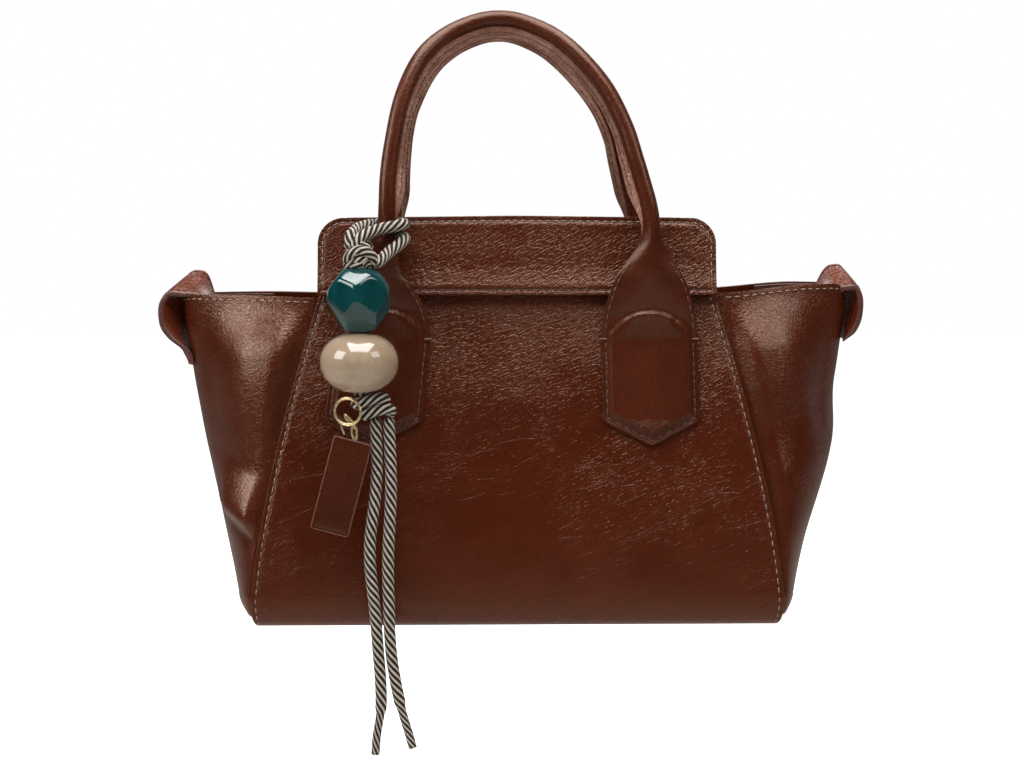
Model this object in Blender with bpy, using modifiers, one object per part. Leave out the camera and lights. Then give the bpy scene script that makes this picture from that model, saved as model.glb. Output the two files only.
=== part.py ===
"""Winged leather tote bag with two rolled handles and a corded bead charm.

The bag is modelled standing upright, +Y to the back and +X to its right, and then the whole of it is
lowered so that the origin lies between the tops of the handles, where a hand or a hook holds it.
Front and back panels overlap folded side wings, a collar band binds each panel's top edge, and each
handle is a leather cover rolled round a rope core that flattens into two teardrops above its tabs.
"""

from math import atan, cos, hypot, pi, radians, sin, sqrt

import bmesh
import bpy
from mathutils import Matrix, Vector

MM = 0.001

# Bag body
BAG_HEIGHT = 205.0 * MM
RIM_HEIGHT = 166.0 * MM
BASE_HALF_WIDTH = 134.0 * MM
RIM_HALF_WIDTH = 99.3 * MM
SEAM_CURVE_SHARE = 1.52
MOUTH_HALF_DEPTH = 31.5 * MM
WALL_LEAN_SHARE = 0.15
FOOT_LEAN_SHARE = 0.02
BELLY_HEIGHT = 55.0 * MM
FOOT_RADIUS = 14.0 * MM
FOOT_TUCK = 10.0 * MM
FOOT_CORNER = 8.0 * MM
PANEL_THICKNESS = 2.0 * MM
PANEL_TOP_DROP = 2.0 * MM
SEAT_GAP = 0.3 * MM

# Folded side wings
WING_FOOT_REACH = 140.0 * MM
WING_RIM_REACH = 172.5 * MM
WING_CURVE_SHARE = 1.27
WING_THICKNESS = 1.6 * MM
SHOULDER_SHARE = 0.3
NOSE_FOOT_SHARE = 0.65
NOSE_RIM_SHARE = 0.5
SEAM_LAP = 8.0 * MM
SEAM_STEP = 1.0 * MM
SIDE_TUCK = 6.0 * MM
CORNER_TURN_SHARE = 0.64
TUCKED_CORNER_SHARE = 0.74
WING_FACING_THICKNESS = 1.2 * MM
WING_FACING_GAP = 0.6 * MM
WING_FACING_HEIGHT = 22.0 * MM
WING_FACING_DROP = 1.0 * MM

# Base and lining
BASE_THICKNESS = 2.0 * MM
BASE_LAP = 1.0 * MM
BASE_CORNER = 10.0 * MM
BOARD_THICKNESS = 2.4 * MM
BOARD_MARGIN = 7.0 * MM
LINING_THICKNESS = 0.8 * MM
LINING_INSET = 4.4 * MM
LINING_SIDE_INSET = 4.0 * MM
LINING_CORNER_INSET = 6.0 * MM
LINING_FOOT_INSET = 10.0 * MM
LINING_TOP_DROP = 20.0 * MM

# Collar bands and the facings behind them
COLLAR_HEIGHT = 38.4 * MM
COLLAR_HALF_WIDTH = 99.8 * MM
COLLAR_THICKNESS = 2.6 * MM
COLLAR_CORNER = 13.0 * MM
COLLAR_CROWN = 1.2 * MM
FACING_THICKNESS = 1.4 * MM
FACING_HEIGHT = 50.0 * MM
FACING_SIDE_CLEARANCE = 0.6 * MM
EDGE_ROUND = 0.6 * MM

# Magnetic snap inside the mouth
SNAP_RADIUS = 9.0 * MM
SNAP_THICKNESS = 1.8 * MM
SNAP_WELL_RADIUS = 3.4 * MM
SNAP_WELL_DEPTH = 1.0 * MM
SNAP_BOSS_RADIUS = 3.1 * MM
SNAP_BOSS_HEIGHT = 0.9 * MM
SNAP_DROP = 16.0 * MM

# Handles
FOLD_HEIGHT = 147.0 * MM
FOLD_GAP = 0.3 * MM
HANDLE_HALF_SPREAD = 66.0 * MM
HANDLE_RISE = 158.8 * MM
LEG_STANDOFF = 5.5 * MM
HANDLE_LEAN = 30.3 * MM
HANDLE_RADIUS = 4.2 * MM
HANDLE_WALL = 1.1 * MM
FIN_REACH = 4.0 * MM
FIN_HALF_THICKNESS = 0.9 * MM
FIN_TURN_DEGREES = 55.0
CORE_GAP = 0.35 * MM
TEAR_HEIGHT = 58.0 * MM
TEAR_EDGE_DEPTH = 1.8 * MM
TEAR_SLIT = 0.3 * MM

# Tabs that carry the handles
TAB_HALF_WIDTH = 24.3 * MM
TAB_THICKNESS = 2.0 * MM
TAB_SIDE_DROP = 43.5 * MM
TAB_TIP_DROP = 56.0 * MM
TAB_CORNER = 5.0 * MM
TAB_PANEL_INSET = 4.0 * MM
TAB_PANEL_RISE = 1.4 * MM
FILLER_THICKNESS = 1.1 * MM
FILLER_GAP = 0.45 * MM

# Side strap loops
LOOP_HALF_WIDTH = 10.0 * MM
LOOP_THICKNESS = 2.8 * MM
LOOP_REACH = 13.0 * MM
LOOP_HEIGHT = 60.0 * MM
LOOP_TILT_SHARE = 0.16

# Bead charm
CORD_RADIUS = 2.9 * MM
LOOP_UNIT = 10.0 * MM
CHARM_ASIDE = 12.4 * MM
CHARM_AHEAD = 24.2 * MM
PIVOT_DROP = 5.5 * MM
KNOT_RADIUS = 6.7 * MM
KNOT_HALF_HEIGHT = 6.0 * MM
TEAL_HALF_WIDTH = 15.6 * MM
TEAL_HALF_HEIGHT = 16.0 * MM
CREAM_HALF_WIDTH = 18.7 * MM
CREAM_HALF_HEIGHT = 14.0 * MM
BEAD_CHAMFER = 2.2 * MM
BORE_CLEARANCE = 0.3 * MM
WRAP_HALF_LENGTH = 9.0 * MM
WRAP_RADIUS = 5.0 * MM
WRAP_OFFSET = 5.1 * MM
RING_RADIUS = 6.4 * MM
RING_WIRE = 0.6 * MM
RING_HALF_DEPTH = 1.0 * MM
RING_OFFSET = -5.6 * MM
RING_DROP = 2.4 * MM
RING_TUNNEL_GAP = 0.45 * MM
LINK_RADIUS = 3.2 * MM
LINK_WIRE = 0.45 * MM
LINK_SEAT_OFFSET = -0.6 * MM
LINK_TILT_DEGREES = 45.0
DROP_RADIUS = 3.4 * MM
DROP_WIRE = 0.45 * MM
DROP_TURN_DEGREES = 25.0
DROP_SEAT_DEGREES = 41.0
TAG_HALF_WIDTH = 9.6 * MM
TAG_LENGTH = 47.0 * MM
TAG_THICKNESS = 2.0 * MM
TAG_HOLE_RADIUS = 1.45 * MM
TAG_HOLE_INSET = 2.6 * MM
TAG_TILT_DEGREES = 14.9

# Routes of the hanging tails, in metres above the underside of the base
LEFT_TAIL_ROUTE = [
    (-0.0697, -0.0698, 0.1063), (-0.0696, -0.0698, 0.1020), (-0.0694, -0.0698, 0.0940),
    (-0.0692, -0.0698, 0.0850), (-0.0697, -0.0698, 0.0760), (-0.0706, -0.0698, 0.0665),
    (-0.0719, -0.0698, 0.0570), (-0.0729, -0.0698, 0.0470), (-0.0729, -0.0698, 0.0370),
    (-0.0722, -0.0698, 0.0275), (-0.0711, -0.0698, 0.0180), (-0.0703, -0.0698, 0.0085),
    (-0.0696, -0.0698, -0.0010), (-0.0689, -0.0698, -0.0105), (-0.0682, -0.0698, -0.0200),
    (-0.0679, -0.0698, -0.0290), (-0.0681, -0.0698, -0.0365), (-0.0691, -0.0698, -0.0430),
    (-0.0702, -0.0698, -0.0500), (-0.0709, -0.0698, -0.0586),
]
RIGHT_TAIL_ROUTE = [
    (-0.0634, -0.0698, 0.1063), (-0.0632, -0.0698, 0.1020), (-0.0629, -0.0698, 0.0940),
    (-0.0626, -0.0698, 0.0850), (-0.0625, -0.0698, 0.0760), (-0.0627, -0.0698, 0.0665),
    (-0.0632, -0.0698, 0.0570), (-0.0638, -0.0698, 0.0470), (-0.0641, -0.0698, 0.0370),
    (-0.0641, -0.0698, 0.0275), (-0.0639, -0.0698, 0.0180), (-0.0637, -0.0698, 0.0085),
    (-0.0633, -0.0698, -0.0010), (-0.0625, -0.0698, -0.0105), (-0.0611, -0.0698, -0.0200),
    (-0.0594, -0.0698, -0.0290), (-0.0577, -0.0698, -0.0365), (-0.0559, -0.0698, -0.0430),
    (-0.0541, -0.0698, -0.0490), (-0.0524, -0.0698, -0.0554),
]
TAIL_END_LENGTH = 24.0 * MM
TAIL_END_RADIUS = 2.15 * MM
CORD_STEP = 13.0 * MM

# Turns of cord round the leg, from its middle, as shares of the loop unit
UPPER_LOOP_SHARES = [
    (-1.61, -2.41, -0.55), (-1.61, -2.15, -0.48), (-1.58, -1.77, -0.38), (-1.49, -1.27, -0.22),
    (-1.32, -0.78, -0.07), (-1.09, -0.34, 0.03), (-0.89, 0.05, 0.08), (-0.73, 0.48, 0.11),
    (-0.39, 0.79, 0.14), (0.06, 0.86, 0.16), (0.51, 0.70, 0.17), (0.78, 0.32, 0.17),
    (0.82, -0.14, 0.14), (0.61, -0.56, 0.09), (0.23, -0.84, 0.02), (-0.19, -1.08, -0.07),
    (-0.53, -1.42, -0.19), (-0.77, -1.80, -0.32), (-0.91, -2.14, -0.45), (-0.95, -2.41, -0.55),
]
LOWER_LOOP_SHARES = [
    (-0.23, -2.36, -1.63), (-0.15, -2.12, -1.55), (-0.01, -1.72, -1.41), (0.18, -1.32, -1.23),
    (0.45, -0.98, -1.03), (0.72, -0.62, -0.81), (0.89, -0.22, -0.63), (0.88, 0.22, -0.52),
    (0.63, 0.60, -0.49), (0.21, 0.79, -0.51), (-0.25, 0.79, -0.53), (-0.73, 0.64, -0.54),
    (-1.10, 0.26, -0.56), (-1.22, -0.17, -0.60), (-1.19, -0.60, -0.71), (-0.98, -1.00, -0.85),
    (-0.84, -1.32, -1.00),
]

# Counts that set the fineness of the meshes
WALL_ROWS = 8
FOOT_ROWS = 4
PANEL_COLUMNS = 4
WING_COLUMNS = 6
HANDLE_STATIONS = 38
LOOP_STATIONS = 18
CORD_SIDES = 8

# The leg where the charm hangs, and the whole centre line: spread, standoff, inward lean and rise,
# as shares of the sizes above
LEG_SHARES = (-0.986, 1.00, 0.003, 0.340)
FRONT_PATH_SHARES = [
    (-1.024, 0.00, 0.000, 0.000), (-1.048, 0.30, 0.000, 0.055), (-1.080, 0.62, 0.000, 0.125),
    (-1.074, 0.84, 0.000, 0.195), (-1.016, 0.97, 0.000, 0.270), LEG_SHARES,
    (-0.980, 1.00, 0.020, 0.412), (-0.971, 1.00, 0.070, 0.495), (-0.940, 1.00, 0.160, 0.594),
    (-0.865, 1.00, 0.325, 0.742), (-0.727, 1.00, 0.560, 0.868), (-0.536, 1.00, 0.800, 0.945),
    (-0.300, 1.00, 0.960, 0.990), (-0.100, 1.00, 1.000, 1.000), (0.080, 1.00, 0.960, 0.984),
    (0.290, 1.00, 0.800, 0.941), (0.482, 1.00, 0.610, 0.871), (0.671, 1.00, 0.420, 0.772),
    (0.808, 1.00, 0.245, 0.655), (0.880, 1.00, 0.130, 0.560), (0.940, 1.00, 0.060, 0.475),
    (0.985, 1.00, 0.018, 0.405), (1.003, 1.00, 0.003, 0.340), (1.000, 0.97, 0.000, 0.270),
    (0.998, 0.84, 0.000, 0.195), (0.998, 0.62, 0.000, 0.125), (0.998, 0.30, 0.000, 0.055),
    (0.998, 0.00, 0.000, 0.000),
]
# Teardrop section by height above the fold: half width as a share of the tab's, and depth share
TEAR_SHARES = [
    (0.000, 0.992, 0.000), (0.138, 0.963, 0.200), (0.267, 0.893, 0.480), (0.397, 0.802, 0.740),
    (0.500, 0.700, 0.930), (0.595, 0.547, 1.100), (0.698, 0.387, 1.120), (0.810, 0.235, 1.100),
    (0.914, 0.185, 1.050), (1.120, 0.173, 1.000),
]
SECTION_ANGLES = [6, 30, 62, 95, 130, 164, 196, 230, 265, 298, 330, 354]

DOME_ANGLES = [30, 55, 76]

# Strap loop centre line: outward share of its reach and height share above its lower end
LOOP_PATH_SHARES = [
    (0.131, 0.00), (0.131, 0.14), (0.20, 0.28), (0.42, 0.45), (0.75, 0.64), (0.93, 0.80),
    (0.86, 0.92), (0.48, 1.00), (0.04, 1.03), (-0.40, 1.02), (-0.77, 0.97), (-0.97, 0.89),
    (-1.04, 0.78), (-0.98, 0.64),
]
# Directions and depths of the nugget's flat cuts, as shares of its half sizes
NUGGET_CUT_SHARES = [
    ((-0.55, -0.75, 0.35), 0.86), ((0.60, -0.70, 0.30), 0.84), ((0.10, -0.90, -0.45), 0.84),
    ((-0.85, -0.20, -0.45), 0.86), ((0.90, -0.15, -0.40), 0.85), ((0.05, -0.45, 0.90), 0.90),
    ((-0.70, 0.60, 0.30), 0.86), ((0.70, 0.65, 0.20), 0.85), ((0.00, 0.90, -0.40), 0.85),
    ((0.45, -0.35, -0.85), 0.90), ((-0.50, 0.20, -0.85), 0.90), ((0.20, 0.60, 0.80), 0.90),
]

# Places that follow from the sizes
FOOT_HEIGHT = BASE_THICKNESS + SEAT_GAP + FOOT_RADIUS
FLANGE_INSET = PANEL_THICKNESS + SEAT_GAP
GRIP_HEIGHT = FOLD_HEIGHT + HANDLE_RISE
COLLAR_OFFSET = SEAT_GAP + COLLAR_THICKNESS / 2
TAB_OFFSET = SEAT_GAP + TAB_THICKNESS / 2
BOARD_HEIGHT = BASE_THICKNESS + 2 * SEAT_GAP + PANEL_THICKNESS


def clear_scene():
    for scene_object in list(bpy.data.objects):
        bpy.data.objects.remove(scene_object)


def make_collection(name):
    collection = bpy.data.collections.new(name)
    bpy.context.scene.collection.children.link(collection)
    return collection


def material(name, color, roughness, metallic=0.0):
    made = bpy.data.materials.new(name)
    made.use_nodes = True
    shader = made.node_tree.nodes["Principled BSDF"]
    shader.inputs["Base Color"].default_value = (*color, 1)
    shader.inputs["Roughness"].default_value = roughness
    shader.inputs["Metallic"].default_value = metallic
    return made


# Placing


def add_object(name, data, finish, parent):
    made = bpy.data.objects.new(name, data)
    made.data.materials.append(finish)
    BAG.objects.link(made)
    made.parent = parent
    return made


def finish_mesh(made, smooth_angle=35):
    made.data.shade_smooth()
    made.data.set_sharp_from_angle(angle=radians(smooth_angle))
    return made


def placed(axis_x, axis_y, axis_z, place):
    matrix = Matrix((axis_x, axis_y, axis_z)).transposed().to_4x4()
    matrix.translation = place
    return matrix


def on_wall(side, x, height, offset):
    """Frame on a panel: local Y climbs the wall, local Z leaves it; side is -1 in front, 1 behind."""
    length = hypot(1, WALL_LEAN_SHARE)
    along = Vector((-side, 0, 0))
    climb = Vector((0, -side * WALL_LEAN_SHARE, 1)) / length
    out = Vector((0, side, WALL_LEAN_SHARE)) / length
    place = Vector((x, side * wall_depth(height), height)) + out * offset
    return placed(along, climb, out, place)


# Outlines, sheets, lofts and tubes


def rounded_outline(corners, steps=4):
    """A closed outline from (x, y, radius) corners, each rounded by an arc."""
    points = []
    for index, (x, y, radius) in enumerate(corners):
        here = Vector((x, y))
        before = Vector(corners[index - 1][:2]) - here
        after = Vector(corners[(index + 1) % len(corners)][:2]) - here
        before.normalize()
        after.normalize()
        half = before.angle(after) / 2
        if radius <= 0:
            points.append(here)
            continue
        centre = here + (before + after).normalized() * radius / sin(half)
        reach = radius / (sin(half) / cos(half))
        start = here + before * reach - centre
        turn = start.angle_signed(here + after * reach - centre)
        for step in range(steps + 1):
            angle = -turn * step / steps
            turned = Vector((
                start.x * cos(angle) - start.y * sin(angle),
                start.x * sin(angle) + start.y * cos(angle),
            ))
            points.append(centre + turned)
    return points


def flat_piece(name, outline, thickness, finish, parent, matrix, edge=0.0):
    """A plate cut to a flat outline, its middle plane on the frame's local XY plane."""
    curve = bpy.data.curves.new(name, "CURVE")
    curve.dimensions = "2D"
    curve.fill_mode = "BOTH"
    curve.extrude = thickness / 2
    spline = curve.splines.new("POLY")
    spline.points.add(len(outline) - 1)
    for point, corner in zip(spline.points, outline):
        point.co = (*corner, 0, 1)
    spline.use_cyclic_u = True
    made = as_mesh(add_object(name, curve, finish, parent))
    made.data.transform(matrix)
    if edge:
        bevel = made.modifiers.new("edge", "BEVEL")
        bevel.width = edge
        bevel.segments = 1
        bevel.limit_method = "ANGLE"
        bevel.angle_limit = radians(50)
    return finish_mesh(made)


def as_mesh(curve_object):
    """Replace a curve object by its mesh, with the loose caps welded."""
    bpy.context.view_layer.update()
    evaluated = curve_object.evaluated_get(bpy.context.evaluated_depsgraph_get())
    mesh = bpy.data.meshes.new_from_object(evaluated)
    mesh.name = curve_object.name
    body = bmesh.new()
    body.from_mesh(mesh)
    bmesh.ops.remove_doubles(body, verts=body.verts, dist=WELD)
    bmesh.ops.recalc_face_normals(body, faces=body.faces)
    body.to_mesh(mesh)
    body.free()
    name, parent = curve_object.name, curve_object.parent
    matrix = curve_object.matrix_world.copy()
    finish = curve_object.data.materials[0]
    bpy.data.objects.remove(curve_object)
    made = bpy.data.objects.new(name, mesh)
    if not mesh.materials:
        mesh.materials.append(finish)
    BAG.objects.link(made)
    made.parent = parent
    made.matrix_world = matrix
    return made


def loft(rings, around=True, lengthwise=False, caps=False):
    """A mesh body through rings of points, closed around and, if asked, lengthwise or by caps."""
    body = bmesh.new()
    rows = [[body.verts.new(point) for point in ring] for ring in rings]
    pairs = list(zip(rows, rows[1:])) + ([(rows[-1], rows[0])] if lengthwise else [])
    for low, high in pairs:
        count = len(low)
        for index in range(count if around else count - 1):
            after = (index + 1) % count
            body.faces.new((low[index], low[after], high[after], high[index]))
    if caps:
        body.faces.new(rows[0])
        body.faces.new(rows[-1])
    return body


def solid(name, body, finish, parent):
    """An object from a closed mesh body, its faces turned out."""
    bmesh.ops.recalc_face_normals(body, faces=body.faces)
    mesh = bpy.data.meshes.new(name)
    body.to_mesh(mesh)
    body.free()
    return finish_mesh(add_object(name, mesh, finish, parent))


def sheet(name, rows, thickness, finish, parent, around=False, floor=False):
    """Leather or cloth: an open surface through rows of points, thickened towards the bag's inside."""
    body = loft(rows, around=around)
    if floor:
        body.verts.ensure_lookup_table()
        body.faces.new(body.verts[-len(rows[-1]):])
        bmesh.ops.recalc_face_normals(body, faces=body.faces)
    middle = Vector((0, 0, RIM_HEIGHT / 2))
    facing = sum(face.normal.dot(face.calc_center_median() - middle) for face in refreshed(body))
    if facing < 0:
        bmesh.ops.reverse_faces(body, faces=body.faces)
    mesh = bpy.data.meshes.new(name)
    body.to_mesh(mesh)
    body.free()
    made = add_object(name, mesh, finish, parent)
    thicken = made.modifiers.new("thickness", "SOLIDIFY")
    thicken.thickness = thickness
    thicken.offset = -1
    thicken.use_even_offset = True
    return finish_mesh(made, 60)


def refreshed(body):
    body.normal_update()
    return body.faces


def tube(name, route, radius, finish, parent, shares=None, resolution=None):
    """A cord or wire: a poly spline with filled caps, its radius scaled by shares where given."""
    curve = bpy.data.curves.new(name, "CURVE")
    curve.dimensions = "3D"
    curve.bevel_depth = radius
    curve.bevel_resolution = resolution if resolution is not None else CORD_SIDES // 2 - 2
    curve.use_fill_caps = True
    spline = curve.splines.new("POLY")
    spline.points.add(len(route) - 1)
    for index, (point, place) in enumerate(zip(spline.points, route)):
        point.co = (*place, 1)
        point.radius = shares[index] if shares else 1
    made = as_mesh(add_object(name, curve, finish, parent))
    return finish_mesh(made)


def smooth_route(points, step, keep=None):
    """Points at even steps along a Catmull-Rom curve through the given ones."""
    fine = []
    values = [Vector(point) for point in points]
    ends = [2 * values[0] - values[1], *values, 2 * values[-1] - values[-2]]
    for index in range(1, len(ends) - 2):
        before, start, stop, after = ends[index - 1:index + 3]
        for part in range(12):
            t = part / 12
            fine.append(0.5 * (
                2 * start + (stop - before) * t
                + (2 * before - 5 * start + 4 * stop - after) * t**2
                + (3 * start - before - 3 * stop + after) * t**3
            ))
    fine.append(values[-1])
    lengths = [0.0]
    for one, two in zip(fine, fine[1:]):
        lengths.append(lengths[-1] + (two - one).length)
    count = keep or max(2, round(lengths[-1] / step))
    route, index = [], 0
    for number in range(count + 1):
        target = lengths[-1] * number / count
        while index < len(fine) - 2 and lengths[index + 1] < target:
            index += 1
        span = lengths[index + 1] - lengths[index]
        route.append(fine[index].lerp(fine[index + 1], (target - lengths[index]) / span))
    return route


def domed(route, shares, radius, start=True, stop=True):
    """Round off a cord's ends: points and radius shares of a half ball beyond each chosen end."""
    places, scales = list(route), list(shares)
    for chosen, end, before, at in ((start, route[0], route[1], 0), (stop, route[-1], route[-2], None)):
        if not chosen:
            continue
        along = (end - before).normalized()
        for degrees in DOME_ANGLES:
            place = end + along * radius * sin(radians(degrees))
            spot = len(places) if at is None else at
            places.insert(spot, place)
            scales.insert(spot, cos(radians(degrees)))
    return places, scales


def turned(name, profile, finish, parent, place, steps=16):
    """A turned piece: a profile of (radius, height) pairs, top to bottom, spun about local Z."""
    mesh = bpy.data.meshes.new(name)
    points = [(radius, 0, height) for radius, height in profile]
    mesh.from_pydata(points, [(index, index + 1) for index in range(len(points) - 1)], [])
    made = add_object(name, mesh, finish, parent)
    made.location = place
    spin = made.modifiers.new("turn", "SCREW")
    spin.steps = steps
    spin.render_steps = steps
    spin.use_merge_vertices = True
    spin.merge_threshold = WELD
    spin.use_smooth_shade = True
    return made


def ring_body(radius, wire, depth, around=20, sides=6):
    """A closed ring in the XZ plane with an oval wire section."""
    rings = []
    for index in range(around):
        angle = 2 * pi * index / around
        out = Vector((cos(angle), 0, sin(angle)))
        rings.append([
            out * (radius + wire * cos(2 * pi * side / sides))
            + Vector((0, depth * sin(2 * pi * side / sides), 0))
            for side in range(sides)
        ])
    return loft(rings, lengthwise=True)


def cut(target, cutter, operation="DIFFERENCE"):
    """Cut one object by another and keep the modifier live."""
    BAG.objects.unlink(cutter)
    CUTTERS.objects.link(cutter)
    cutter.hide_render = True
    cutter.display_type = "WIRE"
    modifier = target.modifiers.new(cutter.name, "BOOLEAN")
    modifier.operation = operation
    modifier.object = cutter
    return target


def cylinder_cutter(name, radius, low, high, place, sides=16):
    body = bmesh.new()
    bmesh.ops.create_cone(body, cap_ends=True, segments=sides, radius1=radius, radius2=radius,
                          depth=high - low)
    bmesh.ops.translate(body, verts=body.verts, vec=(0, 0, (high + low) / 2))
    bmesh.ops.translate(body, verts=body.verts, vec=place)
    return solid(name, body, FINISHES["cord"], HELD)


# Shape of the bag


def wall_slope(height):
    """How fast the front and back walls lean in, per unit of height."""
    below = max(0.0, BELLY_HEIGHT - height) / (BELLY_HEIGHT - FOOT_HEIGHT)
    return WALL_LEAN_SHARE - (WALL_LEAN_SHARE - FOOT_LEAN_SHARE) * below


def wall_depth(height):
    """Half depth over the outside of the panels."""
    below = max(0.0, BELLY_HEIGHT - height)
    curb = (WALL_LEAN_SHARE - FOOT_LEAN_SHARE) * below**2 / (2 * (BELLY_HEIGHT - FOOT_HEIGHT))
    return MOUTH_HALF_DEPTH + WALL_LEAN_SHARE * (BAG_HEIGHT - height) - curb


def wall_point(height, inset):
    """Depth and height of a point that lies inset inside the wall's outer face."""
    slope = wall_slope(height)
    length = hypot(1, slope)
    return wall_depth(height) - inset / length, height - inset * slope / length


def foot_point(angle, inset):
    """Depth and height on the rounding between wall and underside; 0 is level, a right angle is down."""
    centre = wall_depth(FOOT_HEIGHT) - FOOT_RADIUS
    radius = FOOT_RADIUS - inset
    return centre + radius * cos(angle), FOOT_HEIGHT - radius * sin(angle)


def seam_half_width(height):
    share = (min(height, RIM_HEIGHT) / RIM_HEIGHT) ** SEAM_CURVE_SHARE
    return BASE_HALF_WIDTH + (RIM_HALF_WIDTH - BASE_HALF_WIDTH) * share


def wing_reach(height):
    share = 1 - (1 - min(height, RIM_HEIGHT) / RIM_HEIGHT) ** WING_CURVE_SHARE
    return WING_FOOT_REACH + (WING_RIM_REACH - WING_FOOT_REACH) * share


def foot_corner(angle):
    """How far a panel's lower corner is rounded off at an angle round the foot."""
    return FOOT_CORNER * (1 - cos(angle)) ** 1.5


def wall_heights():
    return [
        FOOT_HEIGHT + (RIM_HEIGHT - FOOT_HEIGHT) * row / WALL_ROWS for row in range(WALL_ROWS + 1)
    ]


def panel_rows(side):
    """Rows of a panel from the end of its tuck under the base up to its top edge."""
    stations = []
    depth, height = foot_point(pi / 2, 0)
    narrow = seam_half_width(FOOT_HEIGHT) - foot_corner(pi / 2)
    stations.append((depth - FOOT_TUCK, height, narrow - FOOT_TUCK / 2))
    for row in range(FOOT_ROWS, 0, -1):
        angle = pi / 2 * row / FOOT_ROWS
        depth, height = foot_point(angle, 0)
        stations.append((depth, height, seam_half_width(FOOT_HEIGHT) - foot_corner(angle)))
    for height in wall_heights():
        stations.append((wall_depth(height), height, seam_half_width(height)))
    for row in range(0, FOOT_ROWS):
        top = BAG_HEIGHT - PANEL_TOP_DROP
        height = BAG_HEIGHT - COLLAR_CORNER + (top - BAG_HEIGHT + COLLAR_CORNER) * row / (FOOT_ROWS - 1)
        climb = height - (BAG_HEIGHT - COLLAR_CORNER)
        round_off = COLLAR_CORNER - sqrt(COLLAR_CORNER**2 - climb**2)
        stations.append((wall_depth(height), height, RIM_HALF_WIDTH - round_off))
    return [
        [
            Vector((half * (2 * column / PANEL_COLUMNS - 1), side * depth, height))
            for column in range(PANEL_COLUMNS + 1)
        ]
        for depth, height, half in stations
    ]


def wing_curve(corner_x, corner_y, nose_x, nose_share, t):
    """Plan of a wing's outer face from the seam corner, t = 0, to the nose, t = 1, and its normal."""
    points = [
        Vector((corner_x, corner_y)),
        Vector((corner_x + SHOULDER_SHARE * (nose_x - corner_x), corner_y)),
        Vector((nose_x, nose_share * corner_y)),
        Vector((nose_x, 0)),
    ]
    s = 1 - t
    place = points[0] * s**3 + points[1] * 3 * s * s * t + points[2] * 3 * s * t * t + points[3] * t**3
    along = (
        (points[1] - points[0]) * s * s + (points[2] - points[1]) * 2 * s * t
        + (points[3] - points[2]) * t * t
    ).normalized()
    return place, Vector((-along.y, along.x))


def nose_share(height):
    share = min(height, RIM_HEIGHT) / RIM_HEIGHT
    return NOSE_FOOT_SHARE + (NOSE_RIM_SHARE - NOSE_FOOT_SHARE) * share


def wing_half_row(height, angle, tucked):
    """Points from the inner end of the front flange to the nose; angle and tuck shape the foot."""
    if angle:
        turn = angle * (TUCKED_CORNER_SHARE if tucked else CORNER_TURN_SHARE)
        corner_y, corner_z = foot_point(turn, FLANGE_INSET + SEAT_GAP)
        corner_x = seam_half_width(FOOT_HEIGHT) + SEAM_STEP - foot_corner(turn)
    else:
        corner_y, corner_z = wall_point(height, FLANGE_INSET)
        corner_x = seam_half_width(height) + SEAM_STEP
    nose_x = wing_reach(height)
    side_y, _ = wall_point(height, FLANGE_INSET)
    side_x = seam_half_width(height) + SEAM_STEP
    inset = FOOT_RADIUS * (1 - cos(angle)) + (SIDE_TUCK if tucked else 0)
    side_z = FOOT_HEIGHT - FOOT_RADIUS * sin(angle) if angle else corner_z
    points = [Vector((corner_x - SEAM_LAP, -corner_y, corner_z))]
    points.append(Vector((corner_x, -corner_y, corner_z)))
    for column in range(1, WING_COLUMNS + 1):
        t = column / WING_COLUMNS
        ramp = min(1.0, max(0.0, (t - 0.15) / 0.5))
        weight = ramp * ramp * (3 - 2 * ramp) if angle else 0.0
        corner, _ = wing_curve(corner_x, corner_y, nose_x, nose_share(height), t)
        plain, _ = wing_curve(side_x, side_y, nose_x, nose_share(height), t)
        at_corner = Vector((corner.x, -corner.y, corner_z))
        at_side = Vector((plain.x - inset, -plain.y, side_z))
        points.append(at_corner.lerp(at_side, weight))
    return points


def mirrored_row(half):
    """A row from the front flange round the nose to the back flange."""
    back = [Vector((point.x, -point.y, point.z)) for point in reversed(half[:-1])]
    return half + back


def wing_rows(side):
    rows = [wing_half_row(FOOT_HEIGHT, pi / 2, True)]
    for row in range(FOOT_ROWS, 0, -1):
        rows.append(wing_half_row(FOOT_HEIGHT, pi / 2 * row / FOOT_ROWS, False))
    rows += [wing_half_row(height, 0.0, False) for height in wall_heights()]
    return [[Vector((side * p.x, p.y, p.z)) for p in mirrored_row(row)] for row in rows]


def inner_half_row(height, inset, first_column):
    """Half row of a piece that lies inset inside the wing, from near the seam corner to the nose."""
    corner_y, corner_z = wall_point(height, FLANGE_INSET)
    corner_x = seam_half_width(height) + SEAM_STEP
    points = []
    for column in range(first_column, WING_COLUMNS + 1):
        t = column / WING_COLUMNS
        place, normal = wing_curve(corner_x, corner_y, wing_reach(height), nose_share(height), t)
        inside = place - normal * inset
        points.append(Vector((inside.x, -max(0.0, inside.y), corner_z)))
    return points


def wing_facing_rows(side):
    top = RIM_HEIGHT - WING_FACING_DROP
    rows = []
    for row in range(3):
        height = top - WING_FACING_HEIGHT * row / 2
        half = inner_half_row(height, WING_THICKNESS + WING_FACING_GAP, 2)
        rows.append([Vector((side * p.x, p.y, p.z)) for p in mirrored_row(half)])
    return rows


def lining_rows():
    """Closed rings of the loose cloth lining, from its top edge to the floor of the bag."""
    top = RIM_HEIGHT - LINING_TOP_DROP
    rings = []
    for row in range(6):
        height = top + (FOOT_HEIGHT - top) * row / 5
        rings.append(lining_ring(height, 0.0, height))
    rings.append(lining_ring(FOOT_HEIGHT, LINING_FOOT_INSET, BOARD_HEIGHT + BOARD_THICKNESS + SEAT_GAP))
    return rings


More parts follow.
